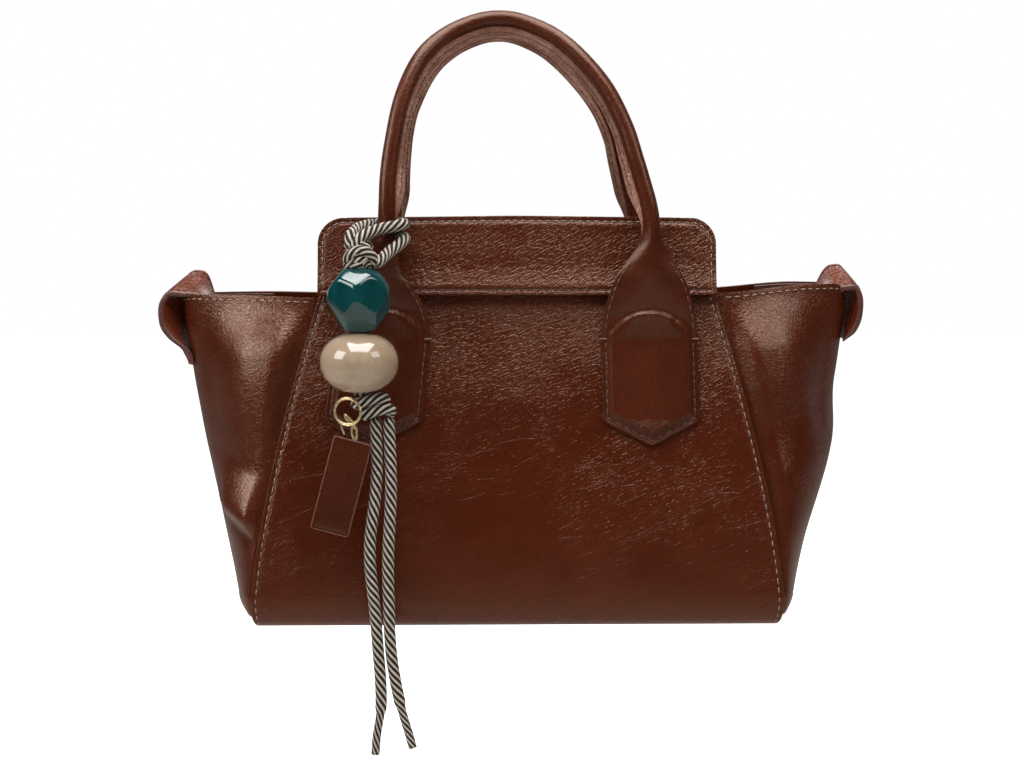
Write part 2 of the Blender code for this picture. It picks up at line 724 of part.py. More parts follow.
def lining_ring(height, draw_in, level):
    depth, _ = wall_point(height, LINING_INSET)
    depth -= draw_in
    flat_x = seam_half_width(height) - LINING_CORNER_INSET - draw_in
    quarter = [Vector((flat_x * share, -depth, level)) for share in (0.0, 0.5, 1.0)]
    for point in inner_half_row(height, LINING_SIDE_INSET, 2):
        quarter.append(Vector((point.x - draw_in, max(point.y, -depth + SEAM_STEP), level)))
    ring = list(quarter)
    ring += [Vector((p.x, -p.y, level)) for p in reversed(quarter[:-1])]
    ring += [Vector((-p.x, -p.y, level)) for p in quarter[1:]]
    ring += [Vector((-p.x, p.y, level)) for p in reversed(quarter[1:-1])]
    return ring


def make_body():
    for side, name in ((-1, "front"), (1, "back")):
        sheet(f"{name}_panel", panel_rows(side), PANEL_THICKNESS, FINISHES["leather"], HELD)
        make_collar(side, name)
    for side, name in ((-1, "left"), (1, "right")):
        sheet(f"{name}_gusset", wing_rows(side), WING_THICKNESS, FINISHES["wing"], HELD)
        sheet(f"{name}_gusset_facing", wing_facing_rows(side), WING_FACING_THICKNESS,
              FINISHES["facing"], HELD)
        make_strap_loop(side, name)
    half_depth = wall_depth(FOOT_HEIGHT) - FOOT_RADIUS + BASE_LAP
    half_width = wing_reach(FOOT_HEIGHT) - FOOT_RADIUS + BASE_LAP
    flat = rectangle(half_width, -half_depth, half_depth, BASE_CORNER)
    flat_piece("base_panel", flat, BASE_THICKNESS, FINISHES["leather"], HELD,
               Matrix.Translation((0, 0, BASE_THICKNESS / 2)))
    inner = rectangle(half_width - BOARD_MARGIN, BOARD_MARGIN - half_depth, half_depth - BOARD_MARGIN,
                      BASE_CORNER)
    flat_piece("base_board", inner, BOARD_THICKNESS, FINISHES["board"], HELD,
               Matrix.Translation((0, 0, BOARD_HEIGHT + BOARD_THICKNESS / 2)))
    sheet("lining", lining_rows(), LINING_THICKNESS, FINISHES["lining"], HELD, around=True, floor=True)


def rectangle(half_width, low, high, radius):
    return rounded_outline([
        (-half_width, low, radius), (half_width, low, radius),
        (half_width, high, radius), (-half_width, high, radius),
    ])


def make_collar(side, name):
    """The band round a panel's top edge, the facing behind it and its half of the snap."""
    climb = hypot(1, WALL_LEAN_SHARE)
    top = 0.0
    low = -COLLAR_HEIGHT * climb
    band = rounded_outline([
        (-COLLAR_HALF_WIDTH, low, 0), (COLLAR_HALF_WIDTH, low, 0),
        (COLLAR_HALF_WIDTH, top, COLLAR_CORNER), (0, top + COLLAR_CROWN, 0),
        (-COLLAR_HALF_WIDTH, top, COLLAR_CORNER),
    ])
    flat_piece(f"{name}_collar", band, COLLAR_THICKNESS, FINISHES["leather"], HELD,
               on_wall(side, 0, BAG_HEIGHT, COLLAR_OFFSET), EDGE_ROUND)
    half = RIM_HALF_WIDTH + SEAM_STEP - SEAM_LAP - FACING_SIDE_CLEARANCE
    facing_offset = -PANEL_THICKNESS - SEAT_GAP - FACING_THICKNESS / 2
    facing = rounded_outline([
        (-half, -FACING_HEIGHT, 0), (half, -FACING_HEIGHT, 0),
        (half, -PANEL_TOP_DROP, COLLAR_CORNER), (-half, -PANEL_TOP_DROP, COLLAR_CORNER),
    ])
    flat_piece(f"{name}_facing", facing, FACING_THICKNESS, FINISHES["facing"], HELD,
               on_wall(side, 0, BAG_HEIGHT, facing_offset))
    make_snap(side, facing_offset - FACING_THICKNESS / 2 - SEAT_GAP)


def make_snap(side, offset):
    """Half a magnetic snap: a cupped socket in front, a bossed stud behind."""
    seat = on_wall(side, 0, BAG_HEIGHT - SNAP_DROP, offset)
    rim = SNAP_THICKNESS * 0.3
    if side < 0:
        profile = [
            (0, SNAP_THICKNESS - SNAP_WELL_DEPTH), (SNAP_WELL_RADIUS, SNAP_THICKNESS - SNAP_WELL_DEPTH),
            (SNAP_WELL_RADIUS, SNAP_THICKNESS), (SNAP_RADIUS - rim, SNAP_THICKNESS),
            (SNAP_RADIUS, SNAP_THICKNESS - rim), (SNAP_RADIUS, 0), (0, 0),
        ]
        name = "snap_socket"
    else:
        profile = [
            (0, SNAP_THICKNESS + SNAP_BOSS_HEIGHT), (SNAP_BOSS_RADIUS, SNAP_THICKNESS + SNAP_BOSS_HEIGHT),
            (SNAP_BOSS_RADIUS, SNAP_THICKNESS), (SNAP_RADIUS - rim, SNAP_THICKNESS),
            (SNAP_RADIUS, SNAP_THICKNESS - rim), (SNAP_RADIUS, 0), (0, 0),
        ]
        name = "snap_stud"
    made = turned(name, profile, FINISHES["metal"], HELD, seat.translation)
    inward = seat.to_3x3() @ Matrix.Rotation(pi, 3, "X")
    made.rotation_euler = inward.to_euler()


def make_strap_loop(side, name):
    """A folded strap sewn astride a wing's nose: up the outside, over the rim and down inside."""
    lower = RIM_HEIGHT - LOOP_HEIGHT * 0.9
    centre = [
        Vector((wing_reach(lower + LOOP_HEIGHT * rise) + LOOP_REACH * out, 0, lower + LOOP_HEIGHT * rise))
        for out, rise in LOOP_PATH_SHARES
    ]
    route = smooth_route(centre, CORD_STEP, keep=LOOP_STATIONS)
    rings = []
    for index, place in enumerate(route):
        before = route[max(0, index - 1)]
        after = route[min(len(route) - 1, index + 1)]
        along = (after - before).normalized()
        out = Vector((along.z, 0, -along.x)) * LOOP_THICKNESS / 2
        lift = max(0.0, place.z - RIM_HEIGHT) * LOOP_TILT_SHARE
        ring = []
        for width, face in ((-1, -1), (1, -1), (1, 1), (-1, 1)):
            point = place + out * face + Vector((0, width * LOOP_HALF_WIDTH, width * lift))
            ring.append(Vector((side * point.x, point.y, point.z)))
        rings.append(ring)
    solid(f"{name}_strap_loop", loft(rings, caps=True), FINISHES["leather"], HELD)


# Handles and tabs


def tear_section(height):
    """Half width and half depth of the handle cover at a height above the fold."""
    share = min(max(height / TEAR_HEIGHT, 0.0), TEAR_SHARES[-1][0])
    for (low, low_width, low_depth), (high, high_width, high_depth) in zip(TEAR_SHARES, TEAR_SHARES[1:]):
        if share <= high:
            part = (share - low) / (high - low)
            width = low_width + (high_width - low_width) * part
            depth = low_depth + (high_depth - low_depth) * part
            break
    half_depth = TEAR_EDGE_DEPTH + (HANDLE_RADIUS - TEAR_EDGE_DEPTH) * depth
    return TAB_HALF_WIDTH * width, half_depth


def handle_point(side, spread, stand, lean, rise):
    fold_depth = wall_depth(FOLD_HEIGHT) + SEAT_GAP + TEAR_EDGE_DEPTH
    depth = fold_depth + LEG_STANDOFF * stand - HANDLE_LEAN * lean
    height = FOLD_HEIGHT + FOLD_GAP / 2 + (HANDLE_RISE - FOLD_GAP / 2) * rise
    return Vector((HANDLE_HALF_SPREAD * spread, side * depth, height))


def handle_path(side):
    """Centre line of a handle; side is -1 for the front handle and 1 for the back one."""
    points = [handle_point(side, *shares) for shares in FRONT_PATH_SHARES]
    return smooth_route(points, CORD_STEP, keep=HANDLE_STATIONS)


def handle_rings(side):
    """Outer and inner rings of the rolled cover, with the sewn fin along its inner side."""
    path = handle_path(side)
    outer, inner = [], []
    for index, place in enumerate(path):
        before = path[max(0, index - 1)]
        after = path[min(len(path) - 1, index + 1)]
        along = (after - before).normalized()
        if index in (0, len(path) - 1):
            along = Vector((0, 0, 1 if index == 0 else -1))
        back = Vector((0, -side, 0))
        inward = along.cross(back) * side
        inward.normalize()
        if inward.dot(Vector((-place.x, 0, FOLD_HEIGHT - place.z))) < 0:
            inward.negate()
        back = along.cross(inward)
        back.normalize()
        if back.y * side > 0:
            back.negate()
        height = place.z - FOLD_HEIGHT
        half_width, half_depth = tear_section(height)
        fin = FIN_REACH * min(1.0, max(0.0, (height - TEAR_HEIGHT) / (TEAR_HEIGHT * 0.3)))
        above = min(1.0, max(0.0, (height - TEAR_HEIGHT) / TEAR_HEIGHT))
        below = min(1.0, max(0.0, (GRIP_HEIGHT - place.z) / TEAR_HEIGHT))
        twist = radians(FIN_TURN_DEGREES) * above * below
        outer.append(cover_ring(place, inward, back, half_width, half_depth, fin, twist))
        wall = min(HANDLE_WALL, half_depth - TEAR_SLIT)
        inner.append(cover_ring(place, inward, back, half_width - wall, half_depth - wall, 0.0, twist))
    return outer, inner


def cover_ring(place, inward, back, half_width, half_depth, fin, twist):
    ring = []
    for number, degrees in enumerate(SECTION_ANGLES):
        angle = radians(degrees) + twist
        point = place + inward * half_width * cos(angle) + back * half_depth * sin(angle)
        if fin > 0 and number in (0, len(SECTION_ANGLES) - 1):
            out = inward * cos(twist) + back * sin(twist)
            across = back * cos(twist) - inward * sin(twist)
            edge = FIN_HALF_THICKNESS if number == 0 else -FIN_HALF_THICKNESS
            point = place + out * (half_width + fin) + across * edge
        ring.append(point)
    return ring


def make_handle(side, name, parent):
    outer, inner = handle_rings(side)
    solid(f"{name}_handle_cover", loft(outer + inner[::-1], lengthwise=True), FINISHES["handle"], parent)
    path = handle_path(side)
    start = TEAR_HEIGHT * 0.72 + FOLD_HEIGHT
    core = [place for place in path if place.z > start]
    radius = HANDLE_RADIUS - HANDLE_WALL - CORE_GAP
    tube(f"{name}_handle_core", core, radius, FINISHES["rope"], parent, resolution=1)


def tab_outline(inset, lean, top_inset):
    side = TAB_HALF_WIDTH - inset
    low = -TAB_SIDE_DROP
    tip = -TAB_TIP_DROP + inset
    top = -FOLD_GAP / 2 - (TAB_THICKNESS + SEAT_GAP) * WALL_LEAN_SHARE - top_inset
    corners = [
        (-side, top, 0), (-side, low, max(TAB_CORNER - inset, TAB_CORNER / 4)),
        (0, tip, TAB_CORNER), (side, low, max(TAB_CORNER - inset, TAB_CORNER / 4)), (side, top, 0),
    ]
    return [Vector((point.x + lean * point.y, point.y)) for point in rounded_outline(corners)]


def make_tab(side, name, x, lean):
    """A shield tab with a raised middle over its filler; its back is hollowed for the filler."""
    frame = on_wall(side, x, FOLD_HEIGHT, TAB_OFFSET)
    back = -TAB_THICKNESS / 2
    front = TAB_THICKNESS / 2
    pocket = TAB_PANEL_INSET + FILLER_GAP
    levels = [
        (pocket + TAB_PANEL_RISE, back + FILLER_THICKNESS + FILLER_GAP),
        (pocket, back + FILLER_THICKNESS + FILLER_GAP),
        (pocket, back),
        (0.0, back),
        (0.0, front),
        (TAB_PANEL_INSET, front),
        (TAB_PANEL_INSET + TAB_PANEL_RISE / 2, front + TAB_PANEL_RISE),
    ]
    rings = []
    for inset, level in levels:
        outline = tab_outline(inset, lean, inset)
        rings.append([frame @ Vector((point.x, point.y, level)) for point in outline])
    solid(f"{name}_tab", loft(rings, caps=True), FINISHES["leather"], HELD)
    seat = on_wall(side, x, FOLD_HEIGHT, SEAT_GAP + FILLER_THICKNESS / 2)
    inner = tab_outline(pocket + FILLER_GAP, lean, pocket + FILLER_GAP)
    flat_piece(f"{name}_tab_filler", inner, FILLER_THICKNESS, FINISHES["board"], HELD, seat)


def make_handles():
    make_handle(-1, "front", HELD)
    make_handle(1, "back", HELD)
    left = HANDLE_HALF_SPREAD * FRONT_PATH_SHARES[0][0]
    right = HANDLE_HALF_SPREAD * FRONT_PATH_SHARES[-1][0]
    make_tab(-1, "front_left", left, 0.10)
    make_tab(-1, "front_right", right, -0.02)
    make_tab(1, "back_left", left, 0.0)
    make_tab(1, "back_right", right, 0.0)


# Charm


def make_loops():
    """Both turns of cord round the handle's leg; their ends taper to sit on the knot."""
    for name, shares in (("upper", UPPER_LOOP_SHARES), ("lower", LOWER_LOOP_SHARES)):
        route = [LEG_PLACE + Vector(point) * LOOP_UNIT for point in shares]
        points = smooth_route(route, CORD_STEP / 3)
        points, shares = domed(points, [1.0] * len(points), CORD_RADIUS)
        tube(f"{name}_loop_cord", points, CORD_RADIUS, FINISHES["cord"], HELD, shares)


def make_knot():
    """The overhand wrap above the beads, as three rolls of cord round one axis."""
    profile = [(0, KNOT_HALF_HEIGHT)]
    roll = KNOT_HALF_HEIGHT * 2 / 3
    for number in range(3):
        middle = KNOT_HALF_HEIGHT - roll * (number + 0.5)
        for step in range(5):
            angle = pi / 2 - pi * step / 4
            bulge = KNOT_RADIUS - roll / 2 + roll / 2 * cos(angle)
            profile.append((bulge, middle + roll / 2 * sin(angle)))
    profile.append((0, -KNOT_HALF_HEIGHT))
    turned("charm_knot", merged_profile(profile), FINISHES["cord"], HELD,
           (CHARM_X, CHARM_Y, KNOT_HEIGHT), steps=14)


def merged_profile(profile):
    kept = [profile[0]]
    for point in profile[1:]:
        if hypot(point[0] - kept[-1][0], point[1] - kept[-1][1]) > WELD:
            kept.append(point)
    return kept


def bead_body(half_width, half_height, power, rows=12, around=20):
    """A closed bead of superellipse profile, flattened a little at its ends."""
    body = bmesh.new()
    bmesh.ops.create_uvsphere(body, u_segments=around, v_segments=rows, radius=1)
    for vertex in body.verts:
        height = vertex.co.z
        out = Vector((vertex.co.x, vertex.co.y))
        angle = max(-1.0, min(1.0, height))
        ring = sqrt(max(0.0, 1 - angle * angle))
        wide = ring ** (2 / power) if ring > 0 else 0.0
        tall = abs(angle) ** (2 / power) * (1 if angle >= 0 else -1)
        if out.length > 0:
            out = out.normalized() * wide * half_width
        vertex.co = Vector((out.x, out.y, tall * half_height))
    return body


def make_beads():
    teal = bead_body(TEAL_HALF_WIDTH, TEAL_HALF_HEIGHT, 2.3)
    for direction, depth in NUGGET_CUT_SHARES:
        normal = Vector(direction).normalized()
        reach = depth * Vector((
            normal.x * TEAL_HALF_WIDTH, normal.y * TEAL_HALF_WIDTH, normal.z * TEAL_HALF_HEIGHT,
        )).length
        geometry = teal.verts[:] + teal.edges[:] + teal.faces[:]
        found = bmesh.ops.bisect_plane(teal, geom=geometry, plane_co=normal * reach, plane_no=normal,
                                       clear_outer=True)
        edges = [item for item in found["geom_cut"] if isinstance(item, bmesh.types.BMEdge)]
        bmesh.ops.contextual_create(teal, geom=edges)
    bmesh.ops.remove_doubles(teal, verts=teal.verts, dist=WELD * 20)
    place_bead("teal_bead", teal, TEAL_HEIGHT, TEAL_HALF_HEIGHT, "teal", HELD)
    cream = bead_body(CREAM_HALF_WIDTH, CREAM_HALF_HEIGHT, 2.5)
    place_bead("cream_bead", cream, CREAM_HEIGHT, CREAM_HALF_HEIGHT, "cream", HELD)


def place_bead(name, body, height, half_height, finish, parent):
    bmesh.ops.translate(body, verts=body.verts, vec=(CHARM_X, CHARM_Y, height))
    bead = solid(name, body, FINISHES[finish], parent)
    bore = cylinder_cutter(f"{name}_bore", CORD_RADIUS + BORE_CLEARANCE, height - 2 * half_height,
                           height + 2 * half_height, (CHARM_X, CHARM_Y, 0))
    cut(bead, bore)


def make_wrap():
    """The short cross wrap under the beads, tunnelled for the split ring that hangs in it."""
    top = CREAM_HEIGHT - CREAM_HALF_HEIGHT - SEAT_GAP
    centre = Vector((CHARM_X + WRAP_OFFSET, CHARM_Y, top - WRAP_RADIUS))
    rings = []
    for step in range(13):
        share = step / 6 - 1
        radius = WRAP_RADIUS * (1 - abs(share) ** 3.2) ** 0.5
        radius = max(radius, WRAP_RADIUS * 0.25)
        grooved = radius * (1 - 0.07 * (step % 2))
        x = centre.x + WRAP_HALF_LENGTH * share
        rings.append([
            Vector((x, centre.y + grooved * cos(pi * side / 5), centre.z + grooved * sin(pi * side / 5)))
            for side in range(10)
        ])
    wrap = solid("lower_wrap", loft(rings, caps=True), FINISHES["cord"], HELD)
    tunnel = ring_body(RING_RADIUS, RING_WIRE + RING_TUNNEL_GAP, RING_HALF_DEPTH + RING_TUNNEL_GAP)
    bmesh.ops.translate(tunnel, verts=tunnel.verts, vec=ring_centre())
    cut(wrap, solid("ring_tunnel", tunnel, FINISHES["metal"], HELD))


def ring_centre():
    top = CREAM_HEIGHT - CREAM_HALF_HEIGHT - SEAT_GAP
    return Vector((CHARM_X + RING_OFFSET, CHARM_Y, top - WRAP_RADIUS - RING_DROP))


def link_centre():
    """Middle of the link, whose upper end lies over the split ring's lowest part."""
    seat = RING_RADIUS - RING_WIRE - SEAT_GAP - LINK_WIRE
    end = Vector((LINK_SEAT_OFFSET, 0, -sqrt(seat**2 - LINK_SEAT_OFFSET**2)))
    tilt = radians(LINK_TILT_DEGREES)
    return ring_centre() + end + Vector((cos(tilt), 0, -sin(tilt))) * LINK_RADIUS


def drop_seat():
    """Where the drop ring hangs on the front side of the link."""
    tilt, around = radians(LINK_TILT_DEGREES), radians(DROP_SEAT_DEGREES)
    reach = Vector((cos(around) * cos(tilt), -sin(around), -cos(around) * sin(tilt)))
    return link_centre() + reach * LINK_RADIUS


def drop_centre():
    grip = DROP_RADIUS - DROP_WIRE - LINK_WIRE * sqrt(2) - SEAT_GAP
    return drop_seat() - Vector((0, 0, grip))


def make_rings():
    """The split ring, the link that hangs askew in it and the drop ring that carries the tag."""
    split = ring_body(RING_RADIUS, RING_WIRE, RING_HALF_DEPTH)
    bmesh.ops.translate(split, verts=split.verts, vec=ring_centre())
    solid("split_ring", split, FINISHES["metal"], HELD)
    link = ring_body(LINK_RADIUS, LINK_WIRE, LINK_WIRE)
    askew = Matrix.Rotation(radians(LINK_TILT_DEGREES), 4, "Y") @ Matrix.Rotation(pi / 2, 4, "X")
    bmesh.ops.transform(link, matrix=Matrix.Translation(link_centre()) @ askew, verts=link.verts)
    solid("link_ring", link, FINISHES["metal"], HELD)
    drop = ring_body(DROP_RADIUS, DROP_WIRE, DROP_WIRE)
    upright = Matrix.Rotation(radians(DROP_TURN_DEGREES) - pi / 2, 4, "Z")
    bmesh.ops.transform(drop, matrix=Matrix.Translation(drop_centre()) @ upright, verts=drop.verts)
    solid("drop_ring", drop, FINISHES["metal"], HELD)


def make_tag():
    """The leather tag, hung askew from the drop ring by a hole near its top edge."""
    seat = drop_centre() - Vector((0, 0, DROP_RADIUS))
    outline = rounded_outline([
        (-TAG_HALF_WIDTH, TAG_HOLE_INSET - TAG_LENGTH, TAG_THICKNESS / 2),
        (TAG_HALF_WIDTH, TAG_HOLE_INSET - TAG_LENGTH, TAG_THICKNESS / 2),
        (TAG_HALF_WIDTH, TAG_HOLE_INSET, TAG_THICKNESS / 2),
        (-TAG_HALF_WIDTH, TAG_HOLE_INSET, TAG_THICKNESS / 2),
    ], steps=2)
    tilt = radians(TAG_TILT_DEGREES)
    frame = placed(
        Vector((cos(tilt), 0, -sin(tilt))), Vector((sin(tilt), 0, cos(tilt))), Vector((0, -1, 0)), seat,
    )
    tag = flat_piece("leather_tag", outline, TAG_THICKNESS, FINISHES["tag"], HELD, frame)
    body = bmesh.new()
    bmesh.ops.create_cone(body, cap_ends=True, segments=12, radius1=TAG_HOLE_RADIUS,
                          radius2=TAG_HOLE_RADIUS, depth=TAG_THICKNESS * 3)
    bmesh.ops.transform(body, matrix=Matrix.Translation(seat) @ Matrix.Rotation(pi / 2, 4, "X"),
                        verts=body.verts)
    cut(tag, solid("tag_hole", body, FINISHES["metal"], HELD))


def make_cords():
    low = CREAM_HEIGHT - CREAM_HALF_HEIGHT
    high = KNOT_HEIGHT - KNOT_HALF_HEIGHT - SEAT_GAP
    straight = [Vector((CHARM_X, CHARM_Y, low + (high - low) * step / 4)) for step in range(5)]
    tube("bead_cord", straight, CORD_RADIUS, FINISHES["cord"], HELD)
    for name, route, parent in (
        ("left_tail", LEFT_TAIL_ROUTE, HELD), ("right_tail", RIGHT_TAIL_ROUTE, HELD),
    ):
        points = smooth_route([Vector(point) for point in route], CORD_STEP / 2)
        end = [(point - points[-1]).length for point in points]
        shares = [TAIL_END_RADIUS / CORD_RADIUS if reach < TAIL_END_LENGTH else 1.0 for reach in end]
        points, shares = domed(points, shares, CORD_RADIUS, stop=False)
        tube(name, points, CORD_RADIUS, FINISHES["cord"], parent, shares)


WELD = 0.00001

clear_scene()
BAG = make_collection("tote_bag")
CUTTERS = make_collection("cutters")
FINISHES = {
    "leather": material("cognac leather", (0.16, 0.045, 0.022), 0.35),
    "wing": material("wing leather", (0.18, 0.055, 0.028), 0.38),
    "handle": material("rolled leather", (0.17, 0.048, 0.022), 0.35),
    "tag": material("tag leather", (0.13, 0.035, 0.018), 0.4),
    "facing": material("facing leather", (0.09, 0.035, 0.02), 0.55),
    "lining": material("lining cloth", (0.20, 0.15, 0.11), 0.9),
    "board": material("fibre board", (0.25, 0.2, 0.15), 0.9),
    "rope": material("rope core", (0.5, 0.42, 0.3), 0.95),
    "cord": material("striped cord", (0.35, 0.33, 0.3), 0.7),
    "teal": material("teal stone", (0.01, 0.11, 0.11), 0.1),
    "cream": material("cream stone", (0.62, 0.53, 0.43), 0.12),
    "metal": material("pale gold", (0.8, 0.62, 0.36), 0.25, 1.0),
}


def pivot(name, parent, place):
    """An empty on a joint's axis, given by its place above the base."""
    made = bpy.data.objects.new(name, None)
    BAG.objects.link(made)
    made.parent = parent
    made.matrix_world = Matrix.Translation(Vector(place) - Vector((0, 0, GRIP_HEIGHT)))
    return made


HELD = pivot("held", None, (0, 0, 0))
LEG_PLACE = handle_point(-1, *LEG_SHARES)
CHARM_X = LEG_PLACE.x - CHARM_ASIDE
CHARM_Y = LEG_PLACE.y - CHARM_AHEAD
KNOT_HEIGHT = LEG_PLACE.z - PIVOT_DROP - CORD_RADIUS - SEAT_GAP - KNOT_HALF_HEIGHT
TEAL_HEIGHT = KNOT_HEIGHT - KNOT_HALF_HEIGHT - SEAT_GAP - TEAL_HALF_HEIGHT
CREAM_HEIGHT = TEAL_HEIGHT - TEAL_HALF_HEIGHT - SEAT_GAP - CREAM_HALF_HEIGHT

make_body()
make_handles()
make_loops()
make_knot()
make_beads()
make_wrap()
make_rings()
make_tag()
make_cords()
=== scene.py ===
"""Looks of the winged leather tote bag: creased cognac leather, stitches, rolled handles, a corded charm.

Lengths are in metres. Pieces are modelled by their height above the underside of the base, like the frame's
own solids, and then lowered to where the frame holds the base.
"""

from math import atan2, cos, exp, hypot, log, pi, radians, sin, sqrt

import bpy
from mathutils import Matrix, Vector, noise


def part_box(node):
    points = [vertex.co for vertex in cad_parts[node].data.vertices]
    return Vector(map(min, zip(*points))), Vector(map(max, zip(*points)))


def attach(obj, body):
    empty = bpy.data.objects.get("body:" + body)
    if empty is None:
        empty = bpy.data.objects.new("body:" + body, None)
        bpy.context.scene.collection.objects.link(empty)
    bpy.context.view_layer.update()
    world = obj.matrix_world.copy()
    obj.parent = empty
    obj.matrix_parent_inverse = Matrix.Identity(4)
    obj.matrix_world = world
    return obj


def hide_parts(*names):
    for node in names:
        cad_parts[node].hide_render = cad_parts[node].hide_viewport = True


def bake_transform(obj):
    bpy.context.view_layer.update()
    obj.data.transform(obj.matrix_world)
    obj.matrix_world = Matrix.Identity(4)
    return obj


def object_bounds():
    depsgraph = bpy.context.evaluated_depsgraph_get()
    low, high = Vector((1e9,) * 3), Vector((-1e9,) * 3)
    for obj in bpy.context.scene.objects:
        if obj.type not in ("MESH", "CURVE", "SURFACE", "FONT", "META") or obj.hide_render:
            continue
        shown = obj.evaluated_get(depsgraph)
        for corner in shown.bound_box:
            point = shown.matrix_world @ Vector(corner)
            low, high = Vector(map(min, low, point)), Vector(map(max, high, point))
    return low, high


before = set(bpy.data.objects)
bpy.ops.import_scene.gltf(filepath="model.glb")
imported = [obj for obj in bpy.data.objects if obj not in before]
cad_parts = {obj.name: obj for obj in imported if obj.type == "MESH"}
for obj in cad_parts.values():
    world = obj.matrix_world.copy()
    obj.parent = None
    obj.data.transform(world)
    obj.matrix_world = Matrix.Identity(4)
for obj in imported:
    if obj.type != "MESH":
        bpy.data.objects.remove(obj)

MM = 0.001
CAD_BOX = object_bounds()
BASE_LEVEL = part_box("base_panel")[0].z

# Bag body
BAG_HEIGHT = 205.0 * MM
RIM_HEIGHT = 166.0 * MM
BASE_HALF_WIDTH = 134.0 * MM
RIM_HALF_WIDTH = 99.3 * MM
SEAM_CURVE = 1.52
MOUTH_HALF_DEPTH = 31.5 * MM
WALL_LEAN = 0.15
FOOT_LEAN = 0.02
BELLY_HEIGHT = 55.0 * MM
FOOT_RADIUS = 14.0 * MM
FOOT_HEIGHT = 16.3 * MM
FOOT_TUCK = 10.0 * MM
FOOT_CORNER = 3.5 * MM
FOOT_DEPTH = 15.6 * MM
PANEL_THICKNESS = 2.0 * MM
SEAT_GAP = 0.3 * MM
FLANGE_INSET = PANEL_THICKNESS + SEAT_GAP

# Wings
WING_FOOT_REACH = 140.0 * MM
WING_RIM_REACH = 172.5 * MM
WING_CURVE = 1.27
WING_THICKNESS = 1.6 * MM
SHOULDER = 0.3
NOSE_FOOT = 0.65
NOSE_RIM = 0.5
SEAM_LAP = 8.0 * MM
SEAM_STEP = 1.0 * MM
SIDE_TUCK = 6.0 * MM
POCKET_DEPTH = 7.2 * MM
# Slack fold of each wing, in millimetres: level at the seam, climb from there to the nose, depth, the
# heights above that line at which it ends and is full, and the depth below it at which it ends
WING_FOLDS = {-1: (53, 18, 5.6, 25, 1, 11), 1: (66, 22, 5.0, 36, 2, 56)}

# Collars, handles and tabs
COLLAR_HEIGHT = 38.4 * MM
COLLAR_HALF_WIDTH = 99.8 * MM
COLLAR_THICKNESS = 2.6 * MM
COLLAR_CORNER = 13.0 * MM
COLLAR_CROWN = 1.2 * MM
COLLAR_FLARE = 1.7 * MM
FACING_HEIGHT = 50.0 * MM
FACING_THICKNESS = 1.4 * MM
WING_FACING_HEIGHT = 22.0 * MM
LINING_THICKNESS = 0.8 * MM
LINING_INSET = 4.4 * MM
LINING_SIDE_INSET = 4.0 * MM
LINING_CORNER_INSET = 6.0 * MM
LINING_DROP = 20.0 * MM
LINING_FLOOR = 7.3 * MM
FOLD_HEIGHT = 147.0 * MM
FOLD_GAP = 0.3 * MM
HANDLE_HALF_SPREAD = 66.0 * MM
HANDLE_RISE = 158.8 * MM
GRIP_HEIGHT = FOLD_HEIGHT + HANDLE_RISE
LEG_STANDOFF = 5.5 * MM
HANDLE_LEAN = 30.3 * MM
HANDLE_RADIUS = 4.2 * MM
FIN_REACH = 4.8 * MM
FIN_HALF_THICKNESS = 0.9 * MM
FIN_TURN = radians(55)
HANDLE_SIDES = 72
SOFTENING_ROUNDS = 9
TEAR_HEIGHT = 58.0 * MM
TEAR_EDGE_DEPTH = 1.8 * MM
TAB_HALF_WIDTH = 24.3 * MM
TAB_THICKNESS = 2.0 * MM
TAB_SIDE_DROP = 43.5 * MM
TAB_TIP_DROP = 56.0 * MM
TAB_CORNER = 5.0 * MM
SHIELD_INSET = 4.0 * MM
SHIELD_RISE = 2.5 * MM
TAB_SLOPE = (TAB_TIP_DROP - TAB_SIDE_DROP) / TAB_HALF_WIDTH
ARCH_RISE = 12.5 * MM

# Sewn edges: the seam's inset, and distances from an edge at which a sheet has its columns of points
SEAM_INSET = 2.4 * MM
EDGE_COLUMNS = [distance * MM for distance in (0.0, 0.5, 1.1, 1.7, 2.1, 2.4, 2.7, 3.2, 3.9, 4.8, 6.2, 8.4)]

# Camera: its place in metres from the frame's origin, its downward tilt and its turn in degrees
CAMERA_PLACE = (-0.0235, -1.040, -0.0968)
CAMERA_TILT = 4.95
CAMERA_TURN = -1.19
CAMERA_LENS = 70.3

# Rows and columns of points in the large sheets
TURN_ROWS = 12
PANEL_ROWS = 72
PANEL_COLUMNS = 56
COLLAR_ROWS = 26
COLLAR_COLUMNS = 60
WING_ROWS = 90
WING_COLUMNS = 40
FACING_ROWS = 24
FACING_COLUMNS = 22
LINING_ROWS = 36
SEAM_STEPS = 60

# Sides of the bag: sign and name
WALLS = ((-1, "front"), (1, "back"))
WINGS = ((-1, "left"), (1, "right"))

# Charm
CORD_RADIUS = 2.9 * MM
LOOP_UNIT = 10.0 * MM
CORD_LEAD = 25.0 * MM
CORD_YARNS = 6
CORD_SIDES = 35
WIRE_SIDES = 14

